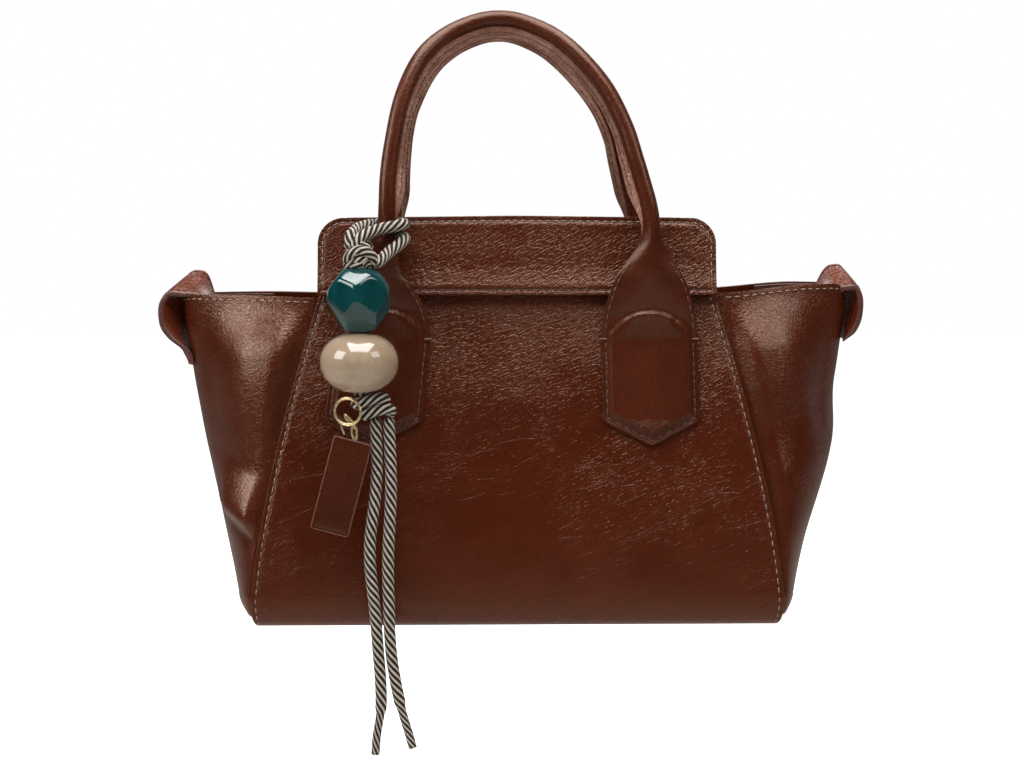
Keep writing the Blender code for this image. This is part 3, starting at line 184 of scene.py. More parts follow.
# Handle centre line: spread, standoff, inward lean and rise, as shares of the sizes above
LEG_SHARES = (-0.986, 1.00, 0.003, 0.340)
HANDLE_SHARES = [
    (-1.024, 0.00, 0.000, 0.000), (-1.048, 0.30, 0.000, 0.055), (-1.080, 0.62, 0.000, 0.125),
    (-1.074, 0.84, 0.000, 0.195), (-1.016, 0.97, 0.000, 0.270), LEG_SHARES,
    (-0.980, 1.00, 0.020, 0.412), (-0.971, 1.00, 0.070, 0.495), (-0.940, 1.00, 0.160, 0.594),
    (-0.865, 1.00, 0.325, 0.742), (-0.727, 1.00, 0.560, 0.868), (-0.536, 1.00, 0.800, 0.945),
    (-0.300, 1.00, 0.960, 0.990), (-0.100, 1.00, 1.000, 1.000), (0.080, 1.00, 0.960, 0.984),
    (0.290, 1.00, 0.800, 0.941), (0.482, 1.00, 0.610, 0.871), (0.671, 1.00, 0.420, 0.772),
    (0.808, 1.00, 0.245, 0.655), (0.880, 1.00, 0.130, 0.560), (0.940, 1.00, 0.060, 0.475),
    (0.985, 1.00, 0.018, 0.405), (1.003, 1.00, 0.003, 0.340), (1.000, 0.97, 0.000, 0.270),
    (0.998, 0.84, 0.000, 0.195), (0.998, 0.62, 0.000, 0.125), (0.998, 0.30, 0.000, 0.055),
    (0.998, 0.00, 0.000, 0.000),
]
# Handle section by height: half width as a share of the tab's, and depth share
TEAR_SHARES = [
    (0.000, 0.992, 0.000), (0.138, 0.963, 0.200), (0.267, 0.893, 0.480), (0.397, 0.802, 0.740),
    (0.500, 0.700, 0.930), (0.595, 0.547, 1.100), (0.698, 0.387, 1.120), (0.810, 0.235, 1.100),
    (0.914, 0.185, 1.050), (1.120, 0.173, 1.000),
]
# Strap loop centre line: outward share of its reach and height share above its lower end
LOOP_SHARES = [
    (0.34, 0.30), (0.36, 0.36), (0.50, 0.46), (0.80, 0.62), (1.00, 0.76), (0.90, 0.88),
    (0.50, 0.96), (0.00, 0.995), (-0.36, 0.985), (-0.70, 0.94), (-0.95, 0.86), (-1.04, 0.76),
    (-0.98, 0.64),
]
STRAP_HALF_WIDTH = 10.0 * MM
STRAP_THICKNESS = 2.8 * MM
STRAP_INNER_REACH = 14.5 * MM
STRAP_HEIGHT = 60.0 * MM
STRAP_FOOT = RIM_HEIGHT - STRAP_HEIGHT * 0.9
STRAP_LIFT = 5.4 * MM
STRAP_WRAP = 3.6 * MM
# Left strap, then right: reach beyond the nose, how far its back edge leans in, and height added
STRAP_SETS = {-1: (5.2 * MM, 5.6 * MM, 0.0), 1: (3.4 * MM, 3.0 * MM, 3.0 * MM)}

# Turns of cord round the handle's leg, from its middle, as shares of the loop unit
UPPER_LOOP_SHARES = [
    (-1.66, -2.30, -0.86), (-1.63, -2.15, -0.48), (-1.56, -1.77, -0.30), (-1.44, -1.27, -0.15),
    (-1.26, -0.78, -0.03), (-1.05, -0.34, 0.04), (-0.88, 0.05, 0.08), (-0.73, 0.48, 0.11),
    (-0.39, 0.79, 0.14), (0.06, 0.86, 0.16), (0.51, 0.70, 0.17), (0.78, 0.32, 0.17),
    (0.86, -0.14, 0.14), (0.66, -0.56, 0.08), (0.25, -0.84, 0.00), (-0.19, -1.08, -0.08),
    (-0.56, -1.42, -0.20), (-0.92, -1.84, -0.36), (-1.26, -2.20, -0.62), (-1.42, -2.36, -0.90),
]
LOWER_LOOP_SHARES = [
    (-0.32, -2.42, -1.72), (-0.17, -2.14, -1.57), (-0.01, -1.72, -1.41), (0.18, -1.32, -1.23),
    (0.45, -0.98, -1.03), (0.72, -0.62, -0.81), (0.89, -0.22, -0.63), (0.88, 0.22, -0.52),
    (0.63, 0.60, -0.49), (0.21, 0.79, -0.51), (-0.25, 0.79, -0.53), (-0.73, 0.64, -0.54),
    (-1.10, 0.26, -0.56), (-1.22, -0.17, -0.60), (-1.19, -0.60, -0.71), (-0.98, -1.00, -0.85),
    (-0.84, -1.32, -1.00),
]
# Routes of the hanging tails, in metres above the underside of the base
LEFT_TAIL_ROUTE = [
    (-0.0697, -0.0698, 0.1063), (-0.0696, -0.0698, 0.1020), (-0.0694, -0.0698, 0.0940),
    (-0.0692, -0.0698, 0.0850), (-0.0697, -0.0698, 0.0760), (-0.0706, -0.0698, 0.0665),
    (-0.0719, -0.0698, 0.0570), (-0.0729, -0.0698, 0.0470), (-0.0729, -0.0698, 0.0370),
    (-0.0722, -0.0698, 0.0275), (-0.0711, -0.0698, 0.0180), (-0.0703, -0.0698, 0.0085),
    (-0.0696, -0.0698, -0.0010), (-0.0689, -0.0698, -0.0105), (-0.0682, -0.0698, -0.0200),
    (-0.0679, -0.0698, -0.0290), (-0.0681, -0.0698, -0.0365), (-0.0691, -0.0698, -0.0430),
    (-0.0702, -0.0698, -0.0500), (-0.0709, -0.0698, -0.0586),
]
RIGHT_TAIL_ROUTE = [
    (-0.0634, -0.0698, 0.1063), (-0.0632, -0.0698, 0.1020), (-0.0629, -0.0698, 0.0940),
    (-0.0626, -0.0698, 0.0850), (-0.0625, -0.0698, 0.0760), (-0.0627, -0.0698, 0.0665),
    (-0.0632, -0.0698, 0.0570), (-0.0638, -0.0698, 0.0470), (-0.0641, -0.0698, 0.0370),
    (-0.0641, -0.0698, 0.0275), (-0.0639, -0.0698, 0.0180), (-0.0637, -0.0698, 0.0085),
    (-0.0633, -0.0698, -0.0010), (-0.0625, -0.0698, -0.0105), (-0.0611, -0.0698, -0.0200),
    (-0.0594, -0.0698, -0.0290), (-0.0577, -0.0698, -0.0365), (-0.0559, -0.0698, -0.0430),
    (-0.0541, -0.0698, -0.0490), (-0.0524, -0.0698, -0.0554),
]
TAIL_END_LENGTH = 24.0 * MM
TAIL_END_SHARE = 0.74


def add_object(name, data):
    made = bpy.data.objects.new(name, data)
    bpy.context.scene.collection.objects.link(made)
    return made


def smoothstep(low, high, value):
    share = min(1.0, max(0.0, (value - low) / (high - low)))
    return share * share * (3 - 2 * share)


def mix(low, high, share):
    return low + (high - low) * share


def bump_at(value, middle, width):
    """A smooth hump of height 1 at middle."""
    return exp(-((value - middle) / width) ** 2)


def table_value(rows, key, column):
    """Linear look-up in rows sorted by their first entry."""
    if key <= rows[0][0]:
        return rows[0][column]
    for low, high in zip(rows, rows[1:]):
        if key <= high[0]:
            return mix(low[column], high[column], (key - low[0]) / (high[0] - low[0]))
    return rows[-1][column]


def rough(place, scale, seed=0.0):
    """Smooth noise from -1 to 1 about, with features of 1 / scale metres."""
    return noise.noise(Vector(place) * scale + Vector((seed, seed * 1.7, seed * 0.6)))


# Camera


def make_camera():
    data = bpy.data.cameras.new("camera")
    data.lens = CAMERA_LENS
    data.sensor_width = 36
    data.clip_start = 0.05
    camera = add_object("camera", data)
    camera.location = CAMERA_PLACE
    camera.rotation_euler = (radians(90 - CAMERA_TILT), 0, radians(CAMERA_TURN))
    bpy.context.scene.camera = camera


# Materials


class Signal:
    """A shader value that adds Math nodes when it is used in sums."""

    def __init__(self, tree, socket):
        self.tree = tree
        self.socket = socket

    def math(self, operation, *values):
        return add_node(self.tree, "ShaderNodeMath", {"operation": operation}, dict(enumerate(values)))

    def __add__(self, other):
        return self.math("ADD", self, other)

    def __sub__(self, other):
        return self.math("SUBTRACT", self, other)

    def __mul__(self, other):
        return self.math("MULTIPLY", self, other)

    def __rsub__(self, other):
        return self.math("SUBTRACT", other, self)

    __radd__ = __add__
    __rmul__ = __mul__

    def step(self, low, high):
        """0 below low, 1 above high and smooth between them; low may be the larger one."""
        falling = float(low > high)
        return add_node(self.tree, "ShaderNodeMapRange", {"interpolation_type": "SMOOTHSTEP"}, {
            "Value": self, "From Min": min(low, high), "From Max": max(low, high),
            "To Min": falling, "To Max": 1 - falling,
        }, "Result")


def feed(tree, place, value):
    """Set a socket to a number or colour, or link it to a signal."""
    if isinstance(value, Signal):
        tree.links.new(value.socket, place)
    else:
        place.default_value = value


def add_node(tree, kind, settings, values, output=0):
    """One node: its settings first, then the values or links of its sockets."""
    made = tree.nodes.new(kind)
    for name, value in settings.items():
        setattr(made, name, value)
    for name, value in values.items():
        feed(tree, made.inputs[name], value)
    return Signal(tree, made.outputs[output])


def linear(red, green, blue):
    """A colour from 0 to 255 per channel, as light."""
    channels = []
    for channel in (red, green, blue):
        share = channel / 255
        channels.append(share / 12.92 if share <= 0.04045 else ((share + 0.055) / 1.055) ** 2.4)
    return (*channels, 1.0)


def darker(tone, share):
    return (*(channel * share for channel in tone[:3]), 1.0)


class Finish:
    """A material on one Principled shader, with calls for the nodes that vary it."""

    def __init__(self, name, roughness=0.5, metallic=0.0, coat=0.0, coat_roughness=0.1, specular=0.5,
                 sheen=0.0, tint=(1.0, 1.0, 1.0, 1.0)):
        self.material = bpy.data.materials.new(name)
        self.material.use_nodes = True
        self.tree = self.material.node_tree
        self.shader = self.tree.nodes["Principled BSDF"]
        self.set("Roughness", roughness)
        self.set("Metallic", metallic)
        self.set("Coat Weight", coat)
        self.set("Coat Roughness", coat_roughness)
        self.set("Specular IOR Level", specular)
        self.set("Specular Tint", tint)
        self.set("Sheen Weight", sheen)

    def set(self, socket, value):
        feed(self.tree, self.shader.inputs[socket], value)

    def node(self, kind, settings, values, output=0):
        return add_node(self.tree, kind, settings, values, output)

    def place(self, stretch=(1, 1, 1), turn=0.0):
        """Position on the piece in metres, turned in the plane of the front and then stretched."""
        where = self.node("ShaderNodeTexCoord", {}, {}, "Object")
        if turn == 0.0 and stretch == (1, 1, 1):
            return where
        return self.stretched(where, (0, turn, 0), stretch)

    def chart(self, stretch=(1, 1, 1), turn=0.0):
        """Position on the piece's own chart: around or across, then along, in metres."""
        where = self.node("ShaderNodeUVMap", {"uv_map": "chart"}, {})
        return self.stretched(where, (0, 0, turn), stretch)

    def stretched(self, where, turns, stretch):
        return self.node("ShaderNodeMapping", {"vector_type": "TEXTURE"}, {
            "Vector": where, "Rotation": turns, "Scale": stretch,
        })

    def axis(self, where, name):
        return self.node("ShaderNodeSeparateXYZ", {}, {"Vector": where}, name)

    def noise(self, where, scale, detail=2.0, roughness=0.5, distortion=0.0):
        return self.node("ShaderNodeTexNoise", {}, {
            "Vector": where, "Scale": scale, "Detail": detail, "Roughness": roughness,
            "Distortion": distortion,
        }, "Fac")

    def warped(self, where, scale, amount):
        """The place moved about by noise, so that what is drawn on it isn't straight."""
        wander = self.node("ShaderNodeTexNoise", {}, {
            "Vector": where, "Scale": scale, "Detail": 2.0,
        }, "Color")
        centred = self.vector("SUBTRACT", wander, (0.5, 0.5, 0.5))
        return self.vector("MULTIPLY_ADD", centred, (amount, amount, amount), where)

    def vector(self, operation, *values):
        return self.node("ShaderNodeVectorMath", {"operation": operation}, dict(enumerate(values)))

    def cells(self, where, scale, feature="F1"):
        return self.node("ShaderNodeTexVoronoi", {"feature": feature}, {
            "Vector": where, "Scale": scale,
        }, "Distance")

    def blend(self, share, first, second):
        """A colour between two, by a share."""
        return self.node("ShaderNodeMix", {"data_type": "RGBA"}, {0: share, 6: first, 7: second}, 2)

    def relief(self, height, depth, strength=1.0):
        """Bump from a height signal of 0 to 1, worth depth metres."""
        self.set("Normal", self.node("ShaderNodeBump", {}, {
            "Strength": strength, "Distance": depth, "Height": height,
        }))


def shifted(skin, where, seed):
    return skin.vector("ADD", where, (seed, seed, seed))


def wrinkles(skin, where, scale, rounding, seed):
    """Small rounded folds with narrow valleys between them: 0 in a valley, 1 on a fold."""
    path = skin.warped(shifted(skin, where, seed), scale * 0.55, 1.5 / scale)
    return skin.cells(path, scale, "DISTANCE_TO_EDGE").step(0.0, rounding)


def long_creases(skin, where, scale, width, seed):
    """Thin wandering lines, 1 on a line and 0 off it, broken up so that none runs on for long."""
    moved = shifted(skin, where, seed)
    path = skin.warped(moved, scale * 0.9, 0.8 / scale)
    lines = skin.cells(path, scale, "DISTANCE_TO_EDGE").step(width, 0.0)
    return lines * skin.noise(moved, scale * 0.8, 1.0).step(0.50, 0.62)


def leather(name, tone, deep, creased=1.0, fade=None, gloss=0.12, coat=0.08, charted=False, turn=-32,
            stretch=2.7, lined=1.0, shine=0.5):
    """Glossy waxed leather: fine grain and slanting wrinkles, with painted shade in the wrinkle valleys and
    long creases. fade gives the heights above the base between which the wrinkles grow from faint to full."""
    skin = Finish(name, coat=coat, coat_roughness=0.10, specular=shine, tint=(1.0, 0.68, 0.50, 1.0))
    plain = skin.chart() if charted else skin.place()
    laid = skin.chart if charted else skin.place
    slanted = laid((stretch, 1, 1), radians(turn))
    drawn = laid((3.2, 1, 1), radians(turn * 0.6))
    clouds = skin.noise(plain, 30.0, 4.0, 0.6)
    mottle = skin.noise(plain, 300.0, 3.0, 0.6)
    patches = skin.noise(plain, 30.0, 2.0, 0.5).step(0.36, 0.58)
    folds = wrinkles(skin, slanted, 640.0, 0.26, 0.3)
    small = wrinkles(skin, slanted, 1400.0, 0.34, 0.9)
    lines = long_creases(skin, drawn, 130.0, 0.016, 1.7)
    share = patches * 0.35 + 0.65
    if fade:
        height = skin.axis(skin.place(), "Z")
        share = share * (0.42 + 0.58 * height.step(BASE_LEVEL + fade[0], BASE_LEVEL + fade[1]))
    pores = skin.cells(plain, 1500.0).step(0.7, 0.0)
    valley = (1 - folds) * share
    body = skin.blend(clouds.step(0.28, 0.72), deep, tone)
    # Painted shade: the wrinkle valleys and long creases are darkened in the colour; the mottle is the
    # leather's random tone.
    crease_shade_and_mottle = valley * 0.4 + lines * 0.3 + mottle.step(0.6, 0.95) * 0.15
    skin.set("Base Color", skin.blend(crease_shade_and_mottle, body, darker(deep, 0.5)))
    skin.set("Roughness", gloss + 0.10 * clouds + 0.12 * valley)
    height = (folds * 0.8 + small * 0.35) * share * creased
    skin.relief(height - lines * 0.35 * lined + mottle * 0.25 + pores * 0.08, 0.17 * MM)
    return skin.material


def edge_paint(name, tone):
    """Painted cut edge: a dull dark coat with small drips."""
    paint = Finish(name, coat=0.2, coat_roughness=0.3)
    drips = paint.noise(paint.place(), 420.0, 3.0, 0.6)
    paint.set("Base Color", paint.blend(drips.step(0.35, 0.7), darker(tone, 0.6), tone))
    paint.set("Roughness", 0.42 + 0.2 * drips)
    paint.relief(drips, 0.12 * MM)
    return paint.material


def striped_cord():
    """Twisted cord of black and off-white yarns; the chart's first axis runs once round it."""
    yarn = Finish("striped cord", specular=0.2, sheen=0.03)
    chart = yarn.node("ShaderNodeUVMap", {"uv_map": "chart"}, {})
    around = yarn.axis(chart, "X")
    along = yarn.axis(chart, "Y")
    turns = around * CORD_YARNS + along * (CORD_YARNS / CORD_LEAD)
    phase = turns.math("FRACT", turns)
    pale = phase.step(0.06, 0.12) * phase.step(0.56, 0.50)
    fibre = turns * 6.0 + along * 240.0
    ply = fibre.math("FRACT", fibre)
    strands = (ply - 0.5).math("ABSOLUTE", ply - 0.5)
    dust = yarn.noise(yarn.place(), 900.0, 2.0, 0.6)
    black = yarn.blend(dust, linear(8, 6, 5), linear(30, 23, 18))
    white = yarn.blend(dust, linear(130, 117, 104), linear(196, 185, 170))
    # Painted shade: the white yarn is darkened in the grooves between its fibres.
    shaded = yarn.blend(strands.step(0.28, 0.5) * 0.35, white, linear(120, 106, 92))
    yarn.set("Base Color", yarn.blend(pale, black, shaded))
    yarn.set("Roughness", 0.62 + 0.2 * dust)
    yarn.relief(strands.step(0.5, 0.1) + pale * 0.6, 0.14 * MM)
    return yarn.material


def sewing_thread(name, tone):
    thread = Finish(name, specular=0.4)
    twist = thread.noise(thread.place(), 1500.0, 2.0, 0.6)
    thread.set("Base Color", thread.blend(twist.step(0.3, 0.7), darker(tone, 0.55), tone))
    thread.set("Roughness", 0.5 + 0.25 * twist)
    thread.relief(twist, 0.1 * MM)
    return thread.material


def polished_bead(name, tone, deep, band, veins):
    """Glossy resin with faint clouds; band gives a soft paler layer through it."""
    resin = Finish(name, coat=0.5, coat_roughness=0.02, specular=0.5)
    where = resin.place((1.0, 1.0, 2.2))
    clouds = resin.noise(where, 55.0, 3.0, 0.6, 0.6)
    lines = resin.noise(where, 160.0, 3.0, 0.7, 1.2)
    colour = resin.blend(clouds.step(0.35, 0.7), deep, tone)
    resin.set("Base Color", resin.blend(lines.step(0.5, 0.85) * veins, colour, band))
    resin.set("Roughness", 0.08 + 0.08 * clouds)
    resin.relief(clouds, 0.05 * MM, 0.5)
    return resin.material


def pale_gold():
    metal = Finish("pale gold", metallic=0.72)
    wear = metal.noise(metal.place(), 700.0, 3.0, 0.6)
    metal.set("Base Color", metal.blend(wear.step(0.3, 0.8), linear(190, 164, 116), linear(228, 210, 172)))
    metal.set("Roughness", 0.16 + 0.16 * wear)
    metal.relief(wear, 0.03 * MM)
    return metal.material


def woven_cloth():
    """Plain weave lining, drawn on the chart."""
    cloth = Finish("lining cloth", specular=0.2, sheen=0.3)
    chart = cloth.chart((1100.0, 1100.0, 1100.0))
    across = cloth.axis(chart, "X")
    along = cloth.axis(chart, "Y")
    warp = (across * pi).math("SINE", across * pi)
    weft = (along * pi).math("SINE", along * pi)
    weave = warp * weft
    dust = cloth.noise(cloth.place(), 140.0, 3.0)
    cloth.set("Base Color", cloth.blend(dust, linear(86, 66, 50), linear(118, 94, 74)))
    cloth.set("Roughness", 0.82 + 0.12 * dust)
    cloth.relief(weave * 0.5 + 0.5, 0.12 * MM)
    return cloth.material


def pressed_fibre(name, dark, pale):
    """Board or rope fibre: short pale flecks."""
    fibre = Finish(name, specular=0.2)
    flecks = fibre.noise(fibre.place((1.0, 1.0, 0.3)), 800.0, 3.0, 0.7)
    fibre.set("Base Color", fibre.blend(flecks.step(0.3, 0.7), dark, pale))
    fibre.set("Roughness", 0.85 + 0.1 * flecks)
    fibre.relief(flecks, 0.2 * MM)
    return fibre.material


COGNAC = linear(65, 23, 8)
COGNAC_DEEP = linear(58, 20, 7)
FINISHES = {
    "panel": leather("panel leather", COGNAC, COGNAC_DEEP, 1.9, (0.085, 0.165)),
    "wing": leather("wing leather", COGNAC, COGNAC_DEEP, 0.5, fade=(-0.08, 0.15), gloss=0.13,
                    turn=-20, stretch=1.7, lined=0.4, shine=0.7),
    "collar": leather("collar leather", COGNAC, COGNAC_DEEP, 1.25, turn=-40, stretch=3.0, lined=0.3),
    "handle": leather("handle leather", linear(68, 25, 10), linear(53, 19, 8), 0.4, charted=True, turn=80,
                      lined=0.15, gloss=0.17, shine=0.4),
    # Painted highlight: the fin is the handle's own leather, its colour made pale to stand for the sheen
    # that it catches.
    "fin": leather("fin leather painted sheen", linear(146, 108, 94), linear(92, 54, 42), 1.2, charted=True, turn=80,
                   lined=0.2),
    "strap": leather("strap leather", linear(94, 39, 21), linear(72, 28, 14), 0.5, lined=0.2),
    "facing": leather("facing leather", linear(58, 27, 19), linear(44, 20, 14), 0.5, gloss=0.5, coat=0.1),
    "tag": leather("tag leather", linear(64, 23, 10), linear(51, 18, 8), 0.35, lined=0.2),
    "edge": edge_paint("edge paint", linear(78, 36, 25)),
    "tag_edge": edge_paint("tag edge paint", linear(100, 54, 40)),
    # Needle holes: dark painted shade, drawn as small dark ovals where each hole's shadow falls.
    "hole": edge_paint("needle hole shade", linear(16, 7, 5)),
    "cord": striped_cord(),
    "thread": sewing_thread("pale thread", linear(150, 118, 100)),
    "tab_thread": sewing_thread("tab thread", linear(108, 70, 56)),
    "dark_thread": sewing_thread("dark thread", linear(70, 34, 24)),
    "teal": polished_bead("teal resin", linear(9, 60, 59), linear(5, 42, 43), linear(20, 78, 76), 0.3),
    "cream": polished_bead("cream resin", linear(136, 118, 98), linear(124, 106, 86),
                           linear(164, 148, 129), 0.4),
    "metal": pale_gold(),
    "lining": woven_cloth(),
    "board": pressed_fibre("fibre board", linear(110, 88, 66), linear(158, 132, 104)),
    "rope": pressed_fibre("rope fibre", linear(150, 128, 92), linear(196, 172, 130)),
}


# Meshes


def make_piece(name, points, faces, finishes, body, chart=None, slots=None):
    """A mesh object in place, with its chart, its finishes and the body that it rides on."""
    mesh = bpy.data.meshes.new(name)
    mesh.from_pydata([(x, y, z + BASE_LEVEL) for x, y, z in points], [], faces)
    if chart:
        layer = mesh.uv_layers.new(name="chart")
        for loop, place in zip(layer.data, chart):
            loop.uv = place
    for finish in finishes:
        mesh.materials.append(FINISHES[finish])
    if slots:
        mesh.polygons.foreach_set("material_index", slots)
    mesh.validate()
    mesh.shade_smooth()
    made = add_object(name, mesh)
    if body:
        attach(made, body)
    return made


def grid(rows, around=False, caps=False, lengthwise=False):
    """Points, faces and chart of a mesh through rows of points. The chart holds lengths in metres."""
    count = len(rows[0])
    points = [tuple(point) for row in rows for point in row]
    across = [[0.0] for _ in rows]
    for row, lengths in zip(rows, across):
        for column in range(count):
            after = row[(column + 1) % count]
            lengths.append(lengths[-1] + (Vector(after) - Vector(row[column])).length)
    along = [0.0]
    pairs = list(zip(rows, rows[1:]))
    if lengthwise:
        pairs.append((rows[-1], rows[0]))
    for low, high in pairs:
        steps = [(Vector(high[c]) - Vector(low[c])).length for c in range(0, count, max(1, count // 8))]
        along.append(along[-1] + sum(steps) / len(steps))
    faces = []
    chart = []
    for row in range(len(pairs)):
        above = (row + 1) % len(rows)
        for column in range(count if around else count - 1):
            after = (column + 1) % count
            faces.append((row * count + column, row * count + after, above * count + after,
                          above * count + column))
            chart += [(across[row][column], along[row]), (across[row][column + 1], along[row]),
                      (across[above][column + 1], along[row + 1]), (across[above][column], along[row + 1])]
    if caps:
        for row, order in ((0, -1), (len(rows) - 1, 1)):
            ring = [row * count + column for column in range(count)][::order]
            faces.append(tuple(ring))
            chart += [(points[index][0], points[index][2]) for index in ring]
    return points, faces, chart


def shell(name, rows, thickness, finish, edge, body, around=False, flip=False, round_edge=0.5 * MM):
    """A leather or cloth sheet through rows of points, thickened inwards, with rounded painted edges."""
    points, faces, chart = grid(rows, around)
    if flip:
        faces = [face[::-1] for face in faces]
        chart = [place for start in range(0, len(chart), 4) for place in chart[start:start + 4][::-1]]
    made = make_piece(name, points, faces, [finish, edge], body, chart)
    thicken = made.modifiers.new("thickness", "SOLIDIFY")
    thicken.thickness = thickness
    thicken.offset = -1
    thicken.use_even_offset = True
    thicken.use_quality_normals = True
    thicken.material_offset_rim = 1
    if round_edge:
        bevel = made.modifiers.new("edge", "BEVEL")
        bevel.width = round_edge
        bevel.segments = 3
        bevel.limit_method = "ANGLE"
        bevel.angle_limit = radians(60)
    return made


def smooth_route(points, step):
    """Points at even steps along a Catmull-Rom curve through the given ones."""
    fine = []
    values = [Vector(point) for point in points]
    ends = [2 * values[0] - values[1], *values, 2 * values[-1] - values[-2]]
    for index in range(1, len(ends) - 2):
        before, start, stop, after = ends[index - 1:index + 3]
        for part in range(12):
            t = part / 12
            fine.append(0.5 * (
                2 * start + (stop - before) * t
                + (2 * before - 5 * start + 4 * stop - after) * t**2
                + (3 * start - before - 3 * stop + after) * t**3
            ))
    fine.append(values[-1])
    return even_steps(fine, step)


def running_lengths(places):
    """Length along a route from its first place to each one."""
    lengths = [0.0]
    for one, two in zip(places, places[1:]):
        lengths.append(lengths[-1] + (two - one).length)
    return lengths


def even_steps(fine, step):
    lengths = running_lengths(fine)
    count = max(2, round(lengths[-1] / step))
    route, index = [], 0
    for number in range(count + 1):
        target = lengths[-1] * number / count
        while index < len(fine) - 2 and lengths[index + 1] < target:
            index += 1
        span = lengths[index + 1] - lengths[index]
        route.append(fine[index].lerp(fine[index + 1], (target - lengths[index]) / span))
    return route


def route_frames(route, closed=False):
    """Along, side and up vectors at each point, carried along the route without twist."""
    frames = []
    side = Vector((0, -1, 0))
    for index in range(len(route)):
        if closed:
            before, after = route[index - 1], route[(index + 1) % len(route)]
        else:
            before, after = route[max(0, index - 1)], route[min(len(route) - 1, index + 1)]
        along = (after - before).normalized()
        side = side - along * side.dot(along)
        if side.length < 1e-6:
            side = along.orthogonal()
        side.normalize()
        frames.append((along, side.copy(), along.cross(side)))
    return frames


def rope(name, route, body, radius=CORD_RADIUS, shares=None, finish="cord", ridge=0.045):
    """A twisted cord along a route: its yarns stand out as ridges that wind round it."""
    lengths = running_lengths(route)
    rows = []
    for index, (place, length, (_, side, up)) in enumerate(zip(route, lengths, route_frames(route))):
        size = radius * (shares[index] if shares else 1.0)
        row = []
        for number in range(CORD_SIDES):
            angle = 2 * pi * number / CORD_SIDES
            turn = CORD_YARNS * (number / CORD_SIDES + length / CORD_LEAD)
            swell = 1 - ridge + ridge * sqrt(abs(cos(pi * (turn - 0.335))))
            row.append(place + (side * cos(angle) + up * sin(angle)) * size * swell)
        rows.append(row)
    points, faces, _ = grid(rows, around=True, caps=True)
    chart = []
    for row in range(len(rows) - 1):
        for number in range(CORD_SIDES):
            low, high = number / CORD_SIDES, (number + 1) / CORD_SIDES
            chart += [(low, lengths[row]), (high, lengths[row]), (high, lengths[row + 1]),
                      (low, lengths[row + 1])]
    chart += [(0.5, 0.0)] * CORD_SIDES * 2
    return make_piece(name, points, faces, [finish], body, chart)


def cord_turn(name, points, step, body, radius=CORD_RADIUS):
    """A turn of the striped cord, with half-ball ends that sit on other pieces."""
    route = smooth_route(points, step)
    places, scales = list(route), [1.0] * len(route)
    for end, before, front in ((route[0], route[1], True), (route[-1], route[-2], False)):
        along = (end - before).normalized()
        for degrees in (20, 40, 58, 74, 86):
            spot = 0 if front else len(places)
            places.insert(spot, end + along * radius * sin(radians(degrees)))
            scales.insert(spot, cos(radians(degrees)))
    return rope(name, places, body, radius=radius, shares=scales)


def wire(name, route, radius, body, closed=False):
    """Round metal wire along a route."""
    turns = [2 * pi * n / WIRE_SIDES for n in range(WIRE_SIDES)]
    rows = []
    for place, (_, side, up) in zip(route, route_frames(route, closed)):
        rows.append([place + side * radius * cos(turn) + up * radius * sin(turn) for turn in turns])
    points, faces, chart = grid(rows, around=True, caps=not closed, lengthwise=closed)
    return make_piece(name, points, faces, ["metal"], body, chart)


# Stitching

# Stitch along its length: share of the length, lift in radii and share of the thread's radius
STITCH_BOW = [(0.0, -0.9, 0.55), (0.12, 0.1, 0.9), (0.32, 0.55, 1.0), (0.5, 0.65, 1.0), (0.68, 0.55, 1.0),
              (0.88, 0.1, 0.9), (1.0, -0.9, 0.55)]
STITCH_SIDES = 6
# Painted shade of a needle hole from its rim to its middle: share of its reach, and lift in millimetres
HOLE_SHADE_PROFILE = [(1.0, -0.10), (0.7, 0.05), (0.25, 0.09)]
HOLE_SHADE_SIDES = 10

def stitches(name, seams, body, length=2.8 * MM, gap=1.9 * MM, radius=0.27 * MM, finish="thread",
             holes=True):
    """Thread stitches along each seam, with dark ovals of painted shade for the needle holes between them;
    a seam is a list of (place, outward normal) pairs."""
    points, faces = [], []
    hole_shades, hole_shade_faces = [], []
    for seam in seams:
        lengths = running_lengths([place for place, _ in seam])
        pitch = length + gap
        count = max(1, int((lengths[-1] + gap) / pitch))
        spare = (lengths[-1] - count * pitch + gap) / 2
        for number in range(count):
            start = spare + number * pitch
            add_stitch(points, faces, seam, lengths, start, length, radius)
            if holes and number:
                # a dark oval of painted shade for the needle hole between two stitches
                add_hole_shade(hole_shades, hole_shade_faces, seam, lengths, start - gap / 2, gap * 0.46)
    made = [make_piece(name, points, faces, [finish], body)]
    if hole_shades:
        made.append(make_piece(f"{name}_marks", hole_shades, hole_shade_faces, ["hole"], body))
    return made


def join_rings(faces, first, rings, sides):
    """Faces between rings of points that are numbered from first on."""
    for row in range(rings - 1):
        for side in range(sides):
            after = (side + 1) % sides
            low, high = first + row * sides, first + (row + 1) * sides
            faces.append((low + side, low + after, high + after, high + side))


